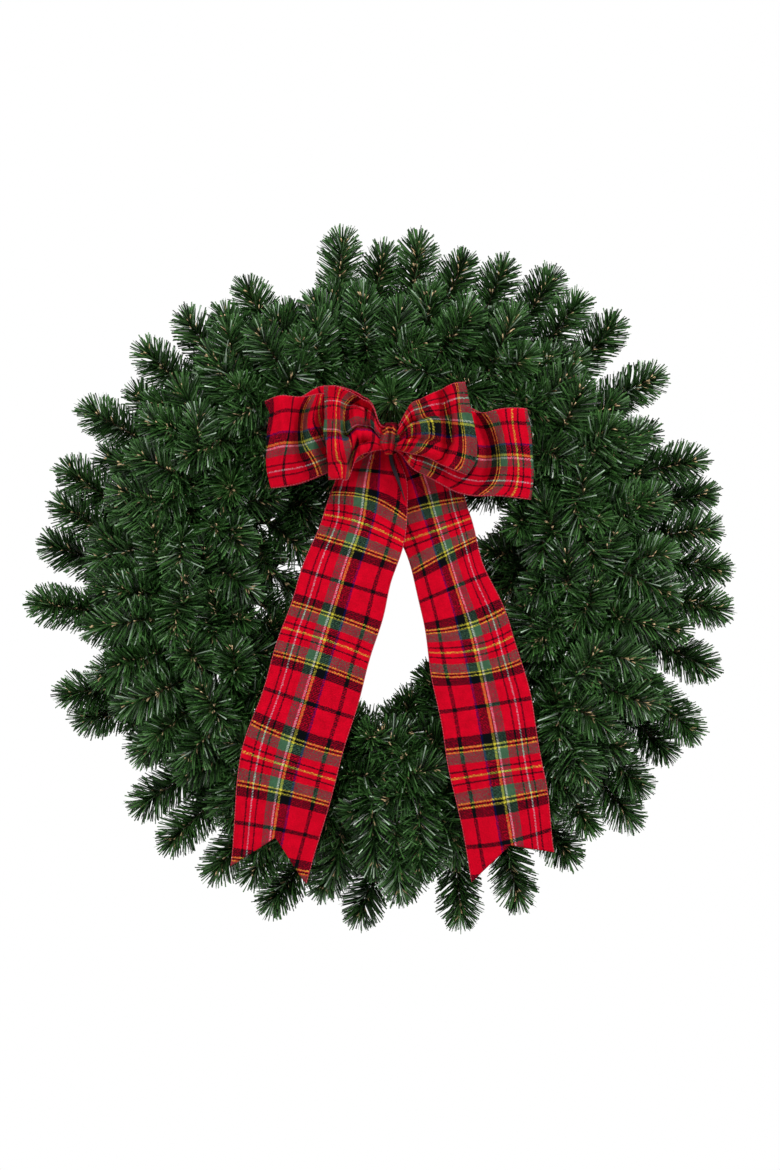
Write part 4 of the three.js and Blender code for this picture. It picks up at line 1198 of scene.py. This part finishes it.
def make_ring(paint):
    """The ring: a round wire bent to a circle."""
    count, sides = 240, 14
    angle = np.arange(count + 1) * TURN / count
    turn = np.arange(sides + 1) * TURN / sides
    radius = RING_RADIUS + WIRE_RADIUS * np.cos(turn)[None, :]
    depth = np.broadcast_to(WIRE_RADIUS * np.sin(turn), (count + 1, sides + 1))
    points = np.stack([radius * np.cos(angle)[:, None], depth, radius * np.sin(angle)[:, None]], -1)
    i, k = grid_numbers(count, sides)
    grid = [(i, k), (i, k + 1), (i + 1, k + 1), (i + 1, k)]
    faces = np.stack([(a % count) * sides + b % sides for a, b in grid], 1)
    uv = np.stack([np.stack([b / sides, a / count], -1) for a, b in grid], 1)
    return make_piece("ring_wire", points[:-1, :-1].reshape(-1, 3), faces, uv, paint, "ring_wire", ["ring"])


# The wreath

cloth, thread = tartan_cloth(), edge_thread()
grids = [make_knot(cloth)]
for name, spec in LOOPS.items():
    grids.append(make_loop(name, spec, cloth, thread))
for name, spec in TAILS.items():
    grids.append(make_tail(name, spec, cloth, thread))
make_strap(strap_plastic())
make_ring(ring_paint())
film, wire, bow_limit = needle_film(), twig_wire(), bow_back(grids)
for i in range(TWIGS):
    make_twig(i, film, wire, bow_limit)


# Floor, light and camera, in metres in the frame

FLOOR_POINTS = 41
FLOOR_X, FLOOR_Y, FLOOR_Z = (-3.6, 3.6), (-4.2, 2.6), -1.4
LIGHTS_AIM = (0, 0, -0.2)
# Each soft light: its place, the length of its side, and its watts.
LIGHTS = {
    "left": ((-2.2, -1.7, 0.8), 1.0, 39),
    "right": ((2.2, -1.5, 1.0), 0.8, 44),
    "above": ((0.1, -2.3, 1.5), 0.8, 33),
    "behind": ((-0.6, 2.3, 1.3), 1.4, 40),
}
EVEN_LIGHT = 0.16
CAMERA_PLACE = (0.007, -3.225, -0.2081)
SENSOR_WIDTH, LENS = 36, 91.07


def make_floor():
    """A pale floor well under the wreath, with a slow swell of 2 mm."""
    sides = (np.linspace(*reach, FLOOR_POINTS) for reach in (FLOOR_X, FLOOR_Y))
    x, y = np.meshgrid(*sides, indexing="ij")
    z = FLOOR_Z + 0.002 * np.sin(x * 1.3) * np.cos(y * 1.1)
    points = np.stack([x, y, z], -1).reshape(-1, 3)
    made, tree, shader = material("pale_floor")
    tone = uneven(tree, srgb(238, 238, 236), 3.0, 0.03)
    feed(tree, shader, {"Base Color": tone["Colour"], "Roughness": 0.7})
    mesh = bpy.data.meshes.new("floor")
    mesh.from_pydata(points, [], sheet_faces(FLOOR_POINTS, FLOOR_POINTS).tolist())
    mesh.materials.append(made)
    floor = bpy.data.objects.new("floor", mesh)
    bpy.context.scene.collection.objects.link(floor)


def soft_light(name, place, size, watts):
    """A square soft box at place, turned towards LIGHTS_AIM."""
    lamp = bpy.data.lights.new(name, "AREA")
    lamp.size = size
    lamp.energy = watts
    box = bpy.data.objects.new(name, lamp)
    bpy.context.scene.collection.objects.link(box)
    box.location = place
    direction = np.array(LIGHTS_AIM) - np.array(place)
    yaw = np.arctan2(direction[0], direction[1])
    pitch = np.arctan2(direction[2], np.hypot(*direction[:2]))
    box.rotation_euler = (np.pi / 2 + pitch, 0, -yaw)


def studio_world():
    """White surroundings behind the wreath, and a softer even light from all round."""
    world = bpy.data.worlds.new("studio")
    world.use_nodes = True
    tree = world.node_tree
    even = tree.nodes["Background"]
    feed(tree, even, {"Color": (1, 1, 1, 1), "Strength": EVEN_LIGHT})
    seen = node(tree, "Background", {"Color": (1, 1, 1, 1), "Strength": 1.0})
    camera_ray = node(tree, "LightPath").outputs["Is Camera Ray"]
    both = node(tree, "MixShader", {0: camera_ray, 1: even.outputs[0], 2: seen.outputs[0]})
    tree.links.new(both.outputs[0], tree.nodes["World Output"].inputs["Surface"])
    bpy.context.scene.world = world


def front_camera():
    """The photograph's view: level, straight at the wreath, with its frame 1170 pixels high over 1265 mm."""
    lens = bpy.data.cameras.new("front")
    lens.sensor_width = SENSOR_WIDTH
    lens.lens = LENS
    camera = bpy.data.objects.new("front", lens)
    bpy.context.scene.collection.objects.link(camera)
    camera.location = CAMERA_PLACE
    camera.rotation_euler = (np.pi / 2, 0, 0)
    bpy.context.scene.camera = camera


make_floor()
for name, (place, size, watts) in LIGHTS.items():
    soft_light(name, place, size, watts)
studio_world()
front_camera()
bpy.context.scene.view_settings.view_transform = "Standard"
